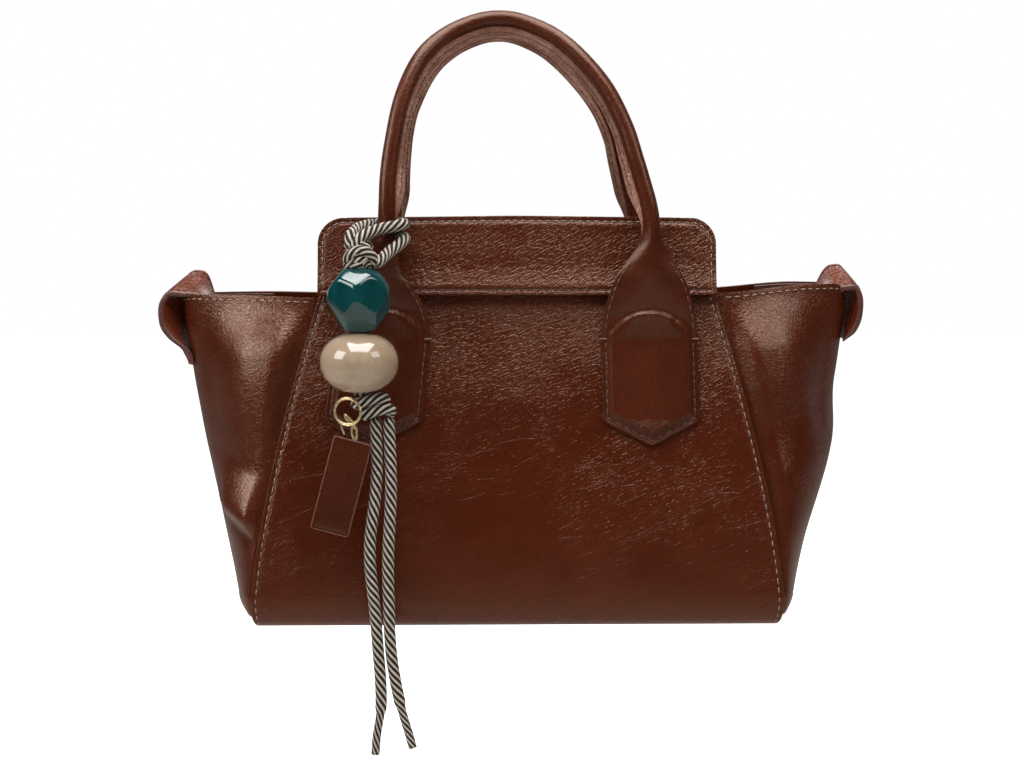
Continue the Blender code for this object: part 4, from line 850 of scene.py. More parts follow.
def add_hole_shade(points, faces, seam, lengths, middle, half):
    """A dark shallow oval of painted shade where the needle and thread go in."""
    place, normal = on_seam(seam, lengths, middle)
    ahead, _ = on_seam(seam, lengths, middle + 0.4 * MM)
    along = (ahead - place).normalized()
    across = along.cross(normal).normalized()
    first = len(points)
    for reach, lift in HOLE_SHADE_PROFILE:
        for side in range(HOLE_SHADE_SIDES):
            angle = 2 * pi * side / HOLE_SHADE_SIDES
            point = place + along * half * reach * cos(angle) + across * 0.42 * MM * reach * sin(angle)
            points.append(tuple(point + normal * lift * MM))
    join_rings(faces, first, len(HOLE_SHADE_PROFILE), HOLE_SHADE_SIDES)
    last = first + (len(HOLE_SHADE_PROFILE) - 1) * HOLE_SHADE_SIDES
    faces.append(tuple(last + side for side in range(HOLE_SHADE_SIDES)))


def on_seam(seam, lengths, target):
    """Place and outward normal at a length along a seam."""
    for index in range(len(lengths) - 1):
        if lengths[index + 1] >= target or index == len(lengths) - 2:
            span = max(1e-9, lengths[index + 1] - lengths[index])
            share = (target - lengths[index]) / span
            place = Vector(seam[index][0]).lerp(Vector(seam[index + 1][0]), share)
            normal = Vector(seam[index][1]).lerp(Vector(seam[index + 1][1]), share).normalized()
            return place, normal
    return Vector(seam[0][0]), Vector(seam[0][1])


def add_stitch(points, faces, seam, lengths, start, length, radius):
    """One stitch: a thread that comes out of the leather, bows and goes back in."""
    first = len(points)
    head, _ = on_seam(seam, lengths, start)
    tail, _ = on_seam(seam, lengths, start + length)
    along = (tail - head).normalized()
    for share, lift, size in STITCH_BOW:
        place, normal = on_seam(seam, lengths, start + length * share)
        across = along.cross(normal).normalized()
        middle = place + normal * lift * radius
        for side in range(STITCH_SIDES):
            angle = 2 * pi * side / STITCH_SIDES
            point = middle + (across * cos(angle) + normal * sin(angle)) * radius * size
            points.append(tuple(point))
    join_rings(faces, first, len(STITCH_BOW), STITCH_SIDES)
    faces.append(tuple(first + side for side in range(STITCH_SIDES))[::-1])
    last = first + (len(STITCH_BOW) - 1) * STITCH_SIDES
    faces.append(tuple(last + side for side in range(STITCH_SIDES)))


# Shape of the bag, as the frame's solids have it


def wall_slope(height):
    """How much the wall leans in per metre of height."""
    below = max(0.0, BELLY_HEIGHT - height) / (BELLY_HEIGHT - FOOT_HEIGHT)
    return WALL_LEAN - (WALL_LEAN - FOOT_LEAN) * below


def wall_axes(side):
    """Directions up along the upper wall, and out of it."""
    return Vector((0, -side * WALL_LEAN, 1)).normalized(), Vector((0, side, WALL_LEAN)).normalized()


def wall_depth(height):
    """Distance of the front or back wall's outer face from the middle, at a height."""
    below = max(0.0, BELLY_HEIGHT - height)
    curb = (WALL_LEAN - FOOT_LEAN) * below**2 / (2 * (BELLY_HEIGHT - FOOT_HEIGHT))
    return MOUTH_HALF_DEPTH + WALL_LEAN * (BAG_HEIGHT - height) - curb


def wall_point(height, inset):
    """Depth and height of a place behind the wall's outer face, inset at a right angle to it."""
    slope = wall_slope(height)
    length = hypot(1, slope)
    return wall_depth(height) - inset / length, height - inset * slope / length


def foot_point(angle, inset):
    """Depth and height round the foot: angle 0 at the wall, pi / 2 under the base."""
    centre = wall_depth(FOOT_HEIGHT) - FOOT_RADIUS
    radius = FOOT_RADIUS - inset
    return centre + radius * cos(angle), FOOT_HEIGHT - radius * sin(angle)


def seam_half_width(height):
    share = (min(height, RIM_HEIGHT) / RIM_HEIGHT) ** SEAM_CURVE
    return BASE_HALF_WIDTH + (RIM_HALF_WIDTH - BASE_HALF_WIDTH) * share


def wing_reach(height):
    share = 1 - (1 - min(height, RIM_HEIGHT) / RIM_HEIGHT) ** WING_CURVE
    return WING_FOOT_REACH + (WING_RIM_REACH - WING_FOOT_REACH) * share


def wing_curve(corner_x, corner_y, nose_x, nose_share, t):
    """Plan of a wing's outer face from the seam, t = 0, to the nose, t = 1, and its normal."""
    points = [
        Vector((corner_x, corner_y)),
        Vector((corner_x + SHOULDER * (nose_x - corner_x), corner_y)),
        Vector((nose_x, nose_share * corner_y)),
        Vector((nose_x, 0)),
    ]
    s = 1 - t
    place = points[0] * s**3 + points[1] * 3 * s * s * t + points[2] * 3 * s * t * t + points[3] * t**3
    along = (
        (points[1] - points[0]) * s * s + (points[2] - points[1]) * 2 * s * t
        + (points[3] - points[2]) * t * t
    ).normalized()
    return place, Vector((-along.y, along.x))


def nose_share_at(height):
    return NOSE_FOOT + (NOSE_RIM - NOSE_FOOT) * min(height, RIM_HEIGHT) / RIM_HEIGHT


def wing_place(height, t):
    """Place and normal of a wing's outer face in plan, at a height."""
    corner_y, _ = wall_point(height, FLANGE_INSET)
    return wing_curve(seam_half_width(height) + SEAM_STEP, corner_y, wing_reach(height),
                      nose_share_at(height), t)


def edge_relief(distance):
    """Outward offset of a sewn sheet near its edge: it rolls down to the edge and dips at the seam."""
    dip = 0.38 * MM * bump_at(distance, SEAM_INSET, 0.75 * MM)
    puff = 0.22 * MM * bump_at(distance, SEAM_INSET + 2.2 * MM, 1.3 * MM)
    return puff - dip


def spread(half, middle):
    """Places across a sheet of a half width: close together near its edges, even between them."""
    inner = half - EDGE_COLUMNS[-1]
    left = [distance - half for distance in EDGE_COLUMNS]
    even = [-inner + 2 * inner * (n + 1) / (middle + 1) for n in range(middle)]
    return left + even + [half - distance for distance in reversed(EDGE_COLUMNS)]


def seam_places(half):
    """Places across a sheet of a half width along a level seam that stops short of both ends."""
    return [(4 * MM - half) * (1 - n / 40) for n in range(81)]


def wall_sag(x, height, side):
    """How far the front or back wall bellies out below its tabs, with a few soft waves."""
    low = smoothstep(98 * MM, 60 * MM, height) * smoothstep(4 * MM, 30 * MM, height)
    middle = 1 - (x / BASE_HALF_WIDTH) ** 2
    belly = 1.5 * MM * low * max(0.0, middle)
    waves = 0.5 * MM * rough((x, side * 0.3, height * 1.6), 17.0, 4.0) * low
    return belly + waves


def foot_half_width(angle):
    """Half width of a panel where it rolls under the base: angle 0 at the wall, pi / 2 at the floor."""
    return seam_half_width(FOOT_HEIGHT) - FOOT_CORNER * (1 - cos(angle)) ** 1.5


def foot_height(angle):
    return FOOT_HEIGHT - FOOT_DEPTH * sin(angle)


def panel_stations():
    """Depth, height, half width and outward direction of a panel's rows, from under the base up."""
    depth, height = foot_point(pi / 2, 0)
    foot = seam_half_width(FOOT_HEIGHT) - FOOT_CORNER
    stations = [(depth - FOOT_TUCK, height, foot - FOOT_TUCK / 2, (0, -1)),
                (depth - 2.5 * MM, height, foot - 1.2 * MM, (0, -1))]
    for row in range(TURN_ROWS, 0, -1):
        angle = pi / 2 * row / TURN_ROWS
        depth, _ = foot_point(angle, 0)
        stations.append((depth, foot_height(angle), foot_half_width(angle), (cos(angle), -sin(angle))))
    for row in range(PANEL_ROWS + 1):
        height = mix(FOOT_HEIGHT, RIM_HEIGHT, row / PANEL_ROWS)
        stations.append((wall_depth(height), height, seam_half_width(height), (1, wall_slope(height))))
    for row in range(1, TURN_ROWS + 1):
        height = mix(RIM_HEIGHT, BAG_HEIGHT - 2.0 * MM, row / TURN_ROWS)
        climb = max(0.0, height - (BAG_HEIGHT - COLLAR_CORNER))
        round_off = COLLAR_CORNER - sqrt(COLLAR_CORNER**2 - climb**2)
        stations.append((wall_depth(height), height, RIM_HALF_WIDTH - round_off, (1, WALL_LEAN)))
    return stations


def panel_seam(side, edge):
    """The seam along one edge of a panel, from under its foot up to the collar."""
    seam = []
    for row in range(TURN_ROWS, 0, -1):
        angle = radians(66) * row / TURN_ROWS
        depth, _ = foot_point(angle, 0)
        x = edge * (foot_half_width(angle) - SEAM_INSET)
        seam.append((Vector((x, side * depth, foot_height(angle))),
                     Vector((0, side * cos(angle), -sin(angle)))))
    for row in range(SEAM_STEPS):
        height = mix(FOOT_HEIGHT, RIM_HEIGHT + 2 * MM, row / (SEAM_STEPS - 1))
        x = edge * (seam_half_width(height) - SEAM_INSET)
        normal = Vector((0, side, wall_slope(height))).normalized()
        push = wall_sag(x, height, side) - 0.25 * MM
        seam.append((Vector((x, side * wall_depth(height), height)) + normal * push, normal))
    return seam


def make_panel(side, name):
    """Front or back panel: lies on the wings' flanges, rolls under the base and bellies a little."""
    rows = []
    for depth, height, half, (out, up) in panel_stations():
        length = hypot(out, up)
        row = []
        for x in spread(half, PANEL_COLUMNS):
            push = wall_sag(x, height, side)
            if FOOT_HEIGHT < height < RIM_HEIGHT:
                push += edge_relief(half - abs(x))
            row.append(Vector((x, side * (depth + push * out / length), height + push * up / length)))
        rows.append(row)
    made = shell(f"{name}_panel_leather", rows, PANEL_THICKNESS, "panel", "edge", "bag", flip=side > 0)
    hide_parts(f"{name}_panel")
    stitches(f"{name}_panel_stitches", [panel_seam(side, edge) for edge in (-1, 1)], "bag")


def rim_lift(side, t, height):
    """The right wing's rim climbs between its seam and its nose; the left one's is nearly level."""
    top = smoothstep(90 * MM, RIM_HEIGHT, height)
    if side < 0:
        return 0.8 * MM * smoothstep(0, 0.4, t) * smoothstep(1.0, 0.7, t) * top
    return (2.4 + 3.6 * smoothstep(0.05, 0.55, t) - 4.4 * smoothstep(0.72, 1.0, t)) * MM * top


def slack_fold(side, t, height):
    """Depth of a wing's slack fold, which climbs from the seam towards the nose."""
    level, climb, depth, fade, full, below = [value * MM for value in WING_FOLDS[side]]
    line = height - (level + climb * t)
    fold = depth * smoothstep(fade, full, line) * smoothstep(-below, 0, line)
    if side < 0:
        fold -= 0.8 * MM * bump_at(line, -10 * MM, 4 * MM)
    return fold * (smoothstep(0.02, 0.20, t) * (smoothstep(0.86, 0.45, t) if side < 0 else 1.0))


def wing_push(side, t, height, x, y):
    """Outward waves of a wing: a full pocket under the rim, a slack fold lower down and small ripples."""
    foot = smoothstep(10 * MM, 40 * MM, height)
    level = RIM_HEIGHT - height
    rise = smoothstep(2.0 * MM, 30 * MM, level) * smoothstep(98 * MM, 34 * MM, level)
    pocket = POCKET_DEPTH * rise * smoothstep(0.0, 0.17, t) * smoothstep(0.70, 0.30, t)
    waves = 0.55 * MM * rough((x, y, height * 0.5), 23.0, 2.0 + side) * smoothstep(1.0, 0.7, t)
    ripples = 0.3 * MM * rough((x, y, height * 0.7), 65.0, 9.0 + side)
    small = (waves + ripples) * smoothstep(3 * MM, 12 * MM, level) * smoothstep(0.02, 0.16, t)
    return (pocket + slack_fold(side, t, height) + small) * foot


def wing_half_row(side, height, angle, tucked):
    """Points from the inner end of the front flange to the nose. Below the foot's height, angle is the
    turn under the base, and the row that is tucked lies furthest in."""
    if angle:
        turn = angle * (0.74 if tucked else 0.64)
        corner_y, corner_z = foot_point(turn, FLANGE_INSET + SEAT_GAP)
        corner_x = foot_half_width(turn) + SEAM_STEP
    else:
        corner_y, corner_z = wall_point(height, FLANGE_INSET)
        corner_x = seam_half_width(height) + SEAM_STEP
    inset = FOOT_RADIUS * (1 - cos(angle)) + (SIDE_TUCK if tucked else 0)
    side_z = FOOT_HEIGHT - FOOT_RADIUS * sin(angle) if angle else corner_z
    points = [Vector((corner_x - SEAM_LAP * (1 - n / 3), -corner_y, corner_z)) for n in range(3)]
    for column in range(WING_COLUMNS + 1):
        t = column / WING_COLUMNS
        ramp = smoothstep(0.15, 0.65, t) if angle else 0.0
        corner, _ = wing_curve(corner_x, corner_y, wing_reach(height), nose_share_at(height), t)
        plain, normal = wing_place(height, t)
        at_corner = Vector((corner.x, -corner.y, corner_z))
        at_side = Vector((plain.x - inset, -plain.y, side_z))
        point = at_corner.lerp(at_side, ramp)
        if not angle:
            push = wing_push(side, t, height, plain.x, plain.y)
            point += Vector((normal.x, -normal.y, 0)) * push
            point.z += rim_lift(side, t, height)
        points.append(point)
    if not angle:
        for point in points[:3]:
            point.z += rim_lift(side, 0.0, height)
    return points


def mirrored_row(half, side):
    """A wing's whole row from its front half, on the side asked for."""
    back = [Vector((point.x, -point.y, point.z)) for point in reversed(half[:-1])]
    return [Vector((side * point.x, point.y, point.z)) for point in half + back]


def make_wing(side, name):
    """A folded side wing: one sheet from the flange behind the front panel round to the back one."""
    rows = [wing_half_row(side, FOOT_HEIGHT, pi / 2, True)]
    for row in range(8, 0, -1):
        rows.append(wing_half_row(side, FOOT_HEIGHT, pi / 2 * row / 8, False))
    for row in range(WING_ROWS + 1):
        rows.append(wing_half_row(side, mix(FOOT_HEIGHT, RIM_HEIGHT, row / WING_ROWS), 0.0, False))
    rows = [mirrored_row(row, side) for row in rows]
    made = shell(f"{name}_wing_leather", rows, WING_THICKNESS, "wing", "edge", "bag", flip=side < 0)
    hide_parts(f"{name}_gusset")
    stitches(f"{name}_wing_stitches", [wing_seam(side, half) for half in (-1, 1)], "bag",
             length=2.9 * MM, gap=1.7 * MM)


def wing_seam(side, half):
    """The seam under the rim of a wing's front half, -1, or its back half, 1."""
    height = RIM_HEIGHT - SEAM_INSET
    _, level = wall_point(height, FLANGE_INSET)
    seam = []
    for number in range(SEAM_STEPS + 1):
        t = 0.03 + 0.93 * number / SEAM_STEPS
        place, normal = wing_place(height, t)
        seam.append((Vector((side * place.x, half * place.y, level + rim_lift(side, t, RIM_HEIGHT))),
                     Vector((side * normal.x, half * normal.y, 0))))
    return seam


# Collars, facings and lining


def collar_row_half(height):
    """Half width of the collar's outline at a distance below its top edge."""
    if height >= COLLAR_CORNER:
        return COLLAR_HALF_WIDTH
    rise = COLLAR_CORNER - height
    return COLLAR_HALF_WIDTH - COLLAR_CORNER + sqrt(max(0.0, COLLAR_CORNER**2 - rise**2))


def collar_edge_distance(x, drop, full):
    """Least distance from a point of the collar to its outline."""
    from_side = COLLAR_HALF_WIDTH - abs(x)
    nearest = min(from_side, drop, full - drop)
    if from_side < COLLAR_CORNER and drop < COLLAR_CORNER:
        nearest = COLLAR_CORNER - hypot(COLLAR_CORNER - from_side, COLLAR_CORNER - drop)
    return max(0.0, min(nearest, full - drop))


def collar_surface(side, x, drop, offset):
    """A point of the collar: drop is measured down the wall from its top edge."""
    length = hypot(1, WALL_LEAN)
    crown = COLLAR_CROWN * max(0.0, 1 - abs(x) / COLLAR_HALF_WIDTH)
    height = BAG_HEIGHT - (drop - crown * smoothstep(COLLAR_HEIGHT, 0, drop)) / length
    flare = COLLAR_FLARE * smoothstep(COLLAR_HEIGHT - 16 * MM, COLLAR_HEIGHT, drop)
    wave = 0.35 * MM * rough((x, side, drop), 26.0, 1.0) * smoothstep(0, 12 * MM, drop)
    out = SEAT_GAP + COLLAR_THICKNESS + offset + flare + wave
    return Vector((x, side * (wall_depth(height) + out / length), height + out * WALL_LEAN / length))


def make_collar(side, name):
    """The band round the panel's top edge, turned at its ends and sewn all round."""
    full = COLLAR_HEIGHT * hypot(1, WALL_LEAN)
    near = EDGE_COLUMNS[9]
    drops = [0.12 * MM, *EDGE_COLUMNS[1:9]]
    drops += [near + (full - 2 * near) * n / COLLAR_ROWS for n in range(COLLAR_ROWS + 1)]
    drops += [full - distance for distance in reversed(EDGE_COLUMNS[:9])]
    rows = []
    for drop in drops:
        half = collar_row_half(drop)
        rows.append([
            collar_surface(side, x, drop, edge_relief(collar_edge_distance(x, drop, full)))
            for x in spread(half, COLLAR_COLUMNS)
        ])
    made = shell(f"{name}_collar_leather", rows, COLLAR_THICKNESS - 0.2 * MM, "collar", "edge", "bag",
                 flip=side < 0, round_edge=0.8 * MM)
    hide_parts(f"{name}_collar")
    _, normal = wall_axes(side)
    lower = [(x, full - SEAM_INSET) for x in seam_places(COLLAR_HALF_WIDTH)]
    seam, lower_seam = [
        [(collar_surface(side, x, drop, -0.25 * MM), normal) for x, drop in line]
        for line in (collar_seam_line(full), lower)
    ]
    stitches(f"{name}_collar_stitches", [seam], "bag", length=2.6 * MM, gap=1.5 * MM)
    stitches(f"{name}_collar_lower_stitches", [lower_seam], "bag", length=2.2 * MM, gap=2.0 * MM,
             finish="dark_thread")


def collar_seam_line(full):
    """Places across and down the collar along its seam: up its left end, along its top and down."""
    arc = COLLAR_CORNER - SEAM_INSET
    flat = COLLAR_HALF_WIDTH - COLLAR_CORNER
    turns = [radians(5 * n) for n in range(1, 18)]
    left = [(SEAM_INSET - COLLAR_HALF_WIDTH, full - 3 * MM - n * MM) for n in range(22)]
    left += [(-flat - arc * cos(turn), COLLAR_CORNER - arc * sin(turn)) for turn in turns]
    top = [(-flat + 2 * flat * n / SEAM_STEPS, SEAM_INSET) for n in range(SEAM_STEPS + 1)]
    right = [(flat + arc * cos(turn), COLLAR_CORNER - arc * sin(turn)) for turn in reversed(turns)]
    right += [(COLLAR_HALF_WIDTH - SEAM_INSET, COLLAR_CORNER + n * MM) for n in range(22)]
    return left + top + right


# Handles


def tear_section(height):
    """Half width and half depth of a handle's tear-shaped end at a height above the fold."""
    share = min(max(height / TEAR_HEIGHT, 0.0), TEAR_SHARES[-1][0])
    half_depth = TEAR_EDGE_DEPTH + (HANDLE_RADIUS - TEAR_EDGE_DEPTH) * table_value(TEAR_SHARES, share, 2)
    return TAB_HALF_WIDTH * table_value(TEAR_SHARES, share, 1), half_depth


def handle_point(side, spread_share, stand, lean, rise):
    """A point of a handle's centre line from its row of shares."""
    fold_depth = wall_depth(FOLD_HEIGHT) + SEAT_GAP + TEAR_EDGE_DEPTH
    depth = fold_depth + LEG_STANDOFF * stand - HANDLE_LEAN * lean
    height = FOLD_HEIGHT + FOLD_GAP / 2 + (HANDLE_RISE - FOLD_GAP / 2) * rise
    return Vector((HANDLE_HALF_SPREAD * spread_share, side * depth, height))


LEG_PLACE = handle_point(-1, *LEG_SHARES)


def tab_outline():
    """Right half of the tab's outline, from its tip up: pairs of height above the fold and half width."""
    slope = atan2(TAB_TIP_DROP - TAB_SIDE_DROP, TAB_HALF_WIDTH)
    pairs = []
    low = TAB_TIP_DROP - TAB_CORNER * (1 / cos(slope) - 1)
    for n in range(7):
        angle = slope * n / 6
        pairs.append((low - TAB_CORNER * (1 - cos(angle)), TAB_CORNER * sin(angle)))
    corner_x = TAB_HALF_WIDTH - TAB_CORNER
    start = corner_x + TAB_CORNER * sin(slope)
    edge_drop = TAB_TIP_DROP - (TAB_TIP_DROP - TAB_SIDE_DROP) * start / TAB_HALF_WIDTH
    centre = edge_drop - TAB_CORNER * cos(slope)
    for n in range(9):
        angle = mix(slope, pi / 2, n / 8)
        pairs.append((centre + TAB_CORNER * cos(angle), corner_x + TAB_CORNER * sin(angle)))
    pairs.append((0.0, TAB_HALF_WIDTH))
    return sorted((-drop, width) for drop, width in pairs)


TAB_OUTLINE = tab_outline()


def tip_distance(x, y):
    """Distance from a point of a tab, y above the fold, to its slanting lower edge."""
    return (y + TAB_TIP_DROP - TAB_SLOPE * abs(x)) / hypot(1, TAB_SLOPE)


def tab_edge_distance(x, y):
    """Least distance from a point of a tab to its outline."""
    return max(0.0, min(TAB_HALF_WIDTH - abs(x), tip_distance(x, y)))


def raised_share(x, y):
    """1 on the tab's raised shield with its arched top and 0 off it, and the distance inside its border."""
    inner = TAB_HALF_WIDTH - SHIELD_INSET
    lower = tip_distance(x, y) - SHIELD_INSET - 0.8 * MM
    arch = ARCH_RISE * (1 - min(1.0, abs(x) / inner) ** 2.3) - y
    inside = min(inner - abs(x), lower, arch * 0.85)
    return smoothstep(-1.1 * MM, 1.1 * MM, inside), inside


def handle_stations(side):
    """Centre, inward, back, height above the fold and leg for each section of a handle with its tabs."""
    path = smooth_route([handle_point(side, *shares) for shares in HANDLE_SHARES], 1.0 * MM)
    last = len(path) - 1
    stations = []
    for index, place in enumerate(path):
        height = place.z - FOLD_HEIGHT
        if height >= TEAR_HEIGHT * 1.15 and index % 3 and index != last:
            continue
        along = (path[min(last, index + 1)] - path[max(0, index - 1)]).normalized()
        if index in (0, last):
            along = Vector((0, 0, -1 if index else 1))
        inward = (along.cross(Vector((0, -side, 0))) * side).normalized()
        if inward.dot(Vector((-place.x, 0, FOLD_HEIGHT - place.z))) < 0:
            inward.negate()
        back = along.cross(inward).normalized()
        if back.y * side > 0:
            back.negate()
        stations.append((place, inward, back, height, index > len(path) / 2))
    return stations


def front_face(share, half_depth, tent):
    """Depth of a section's front at a share of its half width: round, or by tent a softly ridged roof."""
    round_face = sqrt(max(0.0, 1 - share * share))
    roof = 1 - sqrt(share * share + 0.012) ** 1.25
    return half_depth * mix(round_face, max(0.0, roof) * 1.25, tent * 0.85)


def tent_share(y):
    """How far the tear-shaped end is roofed at a height above the fold."""
    return smoothstep(0.12, 0.45, y / TEAR_HEIGHT) * smoothstep(1.10, 0.80, y / TEAR_HEIGHT)


def fin_directions(inward, back, twist):
    """Directions out to the fin's tip and across it."""
    return inward * cos(twist) + back * sin(twist), back * cos(twist) - inward * sin(twist)


def fin_twist(height, grip_height):
    """How far the fin turns to the handle's back: not at all at its tear-shaped end or at its top."""
    above = min(1.0, max(0.0, (height - TEAR_HEIGHT) / TEAR_HEIGHT))
    below = min(1.0, max(0.0, grip_height / TEAR_HEIGHT))
    return FIN_TURN * above * below


def cover_section(place, inward, back, y, grip_height):
    """A ring of points round the handle or its tab, y above the fold and grip_height below its top."""
    half_width, half_depth = tear_section(max(0.0, y))
    slab = smoothstep(17 * MM, 4 * MM, y)
    if y < 0:
        half_width = table_value(TAB_OUTLINE, y, 1)
    fin_share = smoothstep(TEAR_HEIGHT * 0.84, TEAR_HEIGHT * 1.30, y)
    twist = fin_twist(y, grip_height)
    tent = tent_share(y)
    fillet = 0.3 * MM * bump_at(y, 1 * MM, 5 * MM)
    ring = []
    for number in range(HANDLE_SIDES):
        turn = number if number <= HANDLE_SIDES // 2 else number - HANDLE_SIDES
        angle = 2 * pi * number / HANDLE_SIDES
        share = cos(angle)
        front = sin(angle) < -1e-9
        x = half_width * share
        depth = front_face(share, half_depth, tent) if front else half_depth * abs(sin(angle))
        if slab > 0:
            depth = mix(depth, slab_depth(x, y, half_width, front), slab)
        if front and y < ARCH_RISE + 4 * MM:
            depth += shield_relief(x, y) * smoothstep(0.0, 1.6 * MM, half_width - abs(x))
        if front:
            depth += fillet * smoothstep(0.0, 5 * MM, half_width - abs(x))
        point = place + inward * x + back * (-depth if front else depth)
        if twist:
            point = turned_about(point, place, inward, back, twist)
        if fin_share and abs(turn) <= 3:
            point = point.lerp(fin_point(place, inward, back, turn, twist), fin_share)
        ring.append(point)
    return ring


def slab_depth(x, y, half_width, front):
    """Half thickness of the flat tab, rounded at its edge and dipped along its seam."""
    distance = tab_edge_distance(x, y) if y < 0 else half_width - abs(x)
    rounding = sqrt(max(0.0, 1 - (1 - min(1.0, distance / (0.9 * MM))) ** 2))
    flat = TAB_THICKNESS / 2 * rounding
    if front:
        flat += edge_relief(distance) * smoothstep(0.0, 1.0 * MM, distance)
    return flat


def shield_relief(x, y):
    """The padded shield on the tab, with a soft ridge along its arched top."""
    raised, inside = raised_share(x, y)
    ridge = 0.4 * MM * bump_at(inside, 1.1 * MM, 1.0 * MM) * smoothstep(0, 4 * MM, y)
    return SHIELD_RISE * raised + ridge


def turned_about(point, place, inward, back, twist):
    """A point of a section turned about its centre with the fin."""
    offset = point - place
    a, b = offset.dot(inward), offset.dot(back)
    rest = offset - inward * a - back * b
    turned = inward * (a * cos(twist) - b * sin(twist))
    return place + turned + back * (a * sin(twist) + b * cos(twist)) + rest


# The fin's section from its tip to its root: shares of its reach and of its half thickness
FIN_PROFILE = [(1.0, 0.0), (0.93, 0.85), (0.42, 1.0), (0.02, 1.15)]


def fin_point(place, inward, back, turn, twist):
    """A point of the sewn fin's section: its tip at turn 0, its flanks on either side."""
    out, across = fin_directions(inward, back, twist)
    reach, half = FIN_PROFILE[abs(turn)]
    sign = (turn > 0) - (turn < 0)
    middle = place + out * (HANDLE_RADIUS + FIN_REACH * reach - 0.2 * MM)
    return middle + across * sign * half * FIN_HALF_THICKNESS


def fold_place(side, x):
    """The place on the panel where a handle's leg folds."""
    return Vector((x, side * wall_depth(FOLD_HEIGHT), FOLD_HEIGHT))


def tab_rings(side, x, lean, inward):
    """Rings of a tab from its tip to just under the fold, on the wall; inward is 1 or -1 along x."""
    tip = TAB_OUTLINE[0][0]
    heights = [tip + step * MM for step in (0.02, 0.15, 0.35, 0.6, 0.9, 1.3, 1.7)]
    heights += [mix(tip + 2.2 * MM, -0.6 * MM, n / 58) for n in range(59)]
    wall, out = wall_axes(side)
    rings = []
    for y in heights:
        base = fold_place(side, x + lean * y) + wall * y
        lift = mix(TAB_THICKNESS / 2, TEAR_EDGE_DEPTH, smoothstep(-3 * MM, 0, y))
        rings.append(cover_section(base + out * (SEAT_GAP + lift), Vector((inward, 0, 0)), -out, y, 0.0))
    return rings


def make_handle(side, name, leans):
    """A handle's cover with its two tabs: one piece of leather, bent at the stitched fold line."""
    places = [HANDLE_HALF_SPREAD * HANDLE_SHARES[end][0] for end in (0, -1)]
    stations = handle_stations(side)
    rings = tab_rings(side, places[0], leans[0], 1)
    start = len(rings)
    for place, inward, back, height, _ in stations:
        if height >= 1.2 * MM:
            rings.append(cover_section(place, inward, back, height, GRIP_HEIGHT - place.z))
    stop = len(rings)
    rings += reversed(tab_rings(side, places[1], leans[1], -1))
    rings = soften(rings, ((start - 6, start + 7), (stop - 7, stop + 6)))
    points, faces, chart = grid(rings, around=True, caps=True)
    slots = []
    for ring in range(len(rings) - 1):
        finned = start + 50 < ring < stop - 50
        slots += [int(finned and min(n, HANDLE_SIDES - 1 - n) < 3) for n in range(HANDLE_SIDES)]
    slots += [0, 0]
    made = make_piece(f"{name}_handle_leather", points, faces, ["handle", "fin"], None, chart, slots)
    blend_at_fold(made, side)
    tabs = [f"{name}_{leg}_tab" for leg in ("left", "right")]
    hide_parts(f"{name}_handle_cover", *tabs)
    sew_handle(side, name, stations)
    sew_tabs(side, name, places, leans)


def soften(rings, spans):
    """Rings with each point drawn towards its neighbours' middle, within the spans given."""
    for _ in range(SOFTENING_ROUNDS):
        for first, last in spans:
            before = [list(ring) for ring in rings[first - 1:last + 2]]
            for index in range(first, last + 1):
                low, own, high = before[index - first], before[index - first + 1], before[index - first + 2]
                rings[index] = [(a + b * 2 + c) / 4 for a, b, c in zip(low, own, high)]
    return rings


def blend_at_fold(made, side):
    """Bake a piece's transform into its mesh."""
    depth = side * (wall_depth(FOLD_HEIGHT) + SEAT_GAP + TEAR_EDGE_DEPTH)
    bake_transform(made)


def fin_seams(stations):
    """Lines along both faces of the sewn fin."""
    seams = ([], [])
    for place, inward, back, height, _ in stations:
        if height < TEAR_HEIGHT * 1.2:
            continue
        out, across = fin_directions(inward, back, fin_twist(height, GRIP_HEIGHT - place.z))
        for sign, seam in zip((-1, 1), seams):
            middle = place + out * (HANDLE_RADIUS + FIN_REACH * 0.55)
            seam.append((middle + across * sign * FIN_HALF_THICKNESS * 0.95, across * sign))
    return seams


def teardrop_seam(stations, leg_right, sign):
    """Line up one edge of a leg's tear-shaped end."""
    seam = []
    for place, inward, back, height, right in stations:
        if right != leg_right or not 1.5 * MM < height < TEAR_HEIGHT * 0.66:
            continue
        half_width, half_depth = tear_section(height)
        share = 1 - 1.9 * MM / half_width
        depth = front_face(share, half_depth, tent_share(height)) + 0.05 * MM
        seam.append((place + inward * sign * half_width * share - back * depth,
                     (inward * sign * 0.5 - back).normalized()))
    return seam


def sew_handle(side, name, stations):
    """Stitches along the fin and up the edges of the tear-shaped ends."""
    body = f"{name}_handle"
    stitches(f"{body}_fin_stitches", fin_seams(stations), body, length=2.4 * MM, gap=1.9 * MM,
             finish="dark_thread")
    tears = [teardrop_seam(stations, leg_right, sign) for leg_right in (False, True) for sign in (-1, 1)]
    for sewn in stitches(f"{name}_teardrop_stitches", tears, None, finish="tab_thread"):
        blend_at_fold(sewn, side)


def sew_tabs(side, name, places, leans):
    """Stitches round the tabs and the tacks at their upper corners."""
    seams = [tab_seam(side, x, lean) for x, lean in zip(places, leans)]
    stitches(f"{name}_tab_stitches", seams, "bag", finish="tab_thread")
    tacks = [bar_tack(side, x + sign * (TAB_HALF_WIDTH - 1.6 * MM)) for x in places for sign in (-1, 1)]
    stitches(f"{name}_tab_bar_tacks", tacks, "bag", length=4.6 * MM, gap=0.2 * MM, radius=0.5 * MM,
             finish="tab_thread")


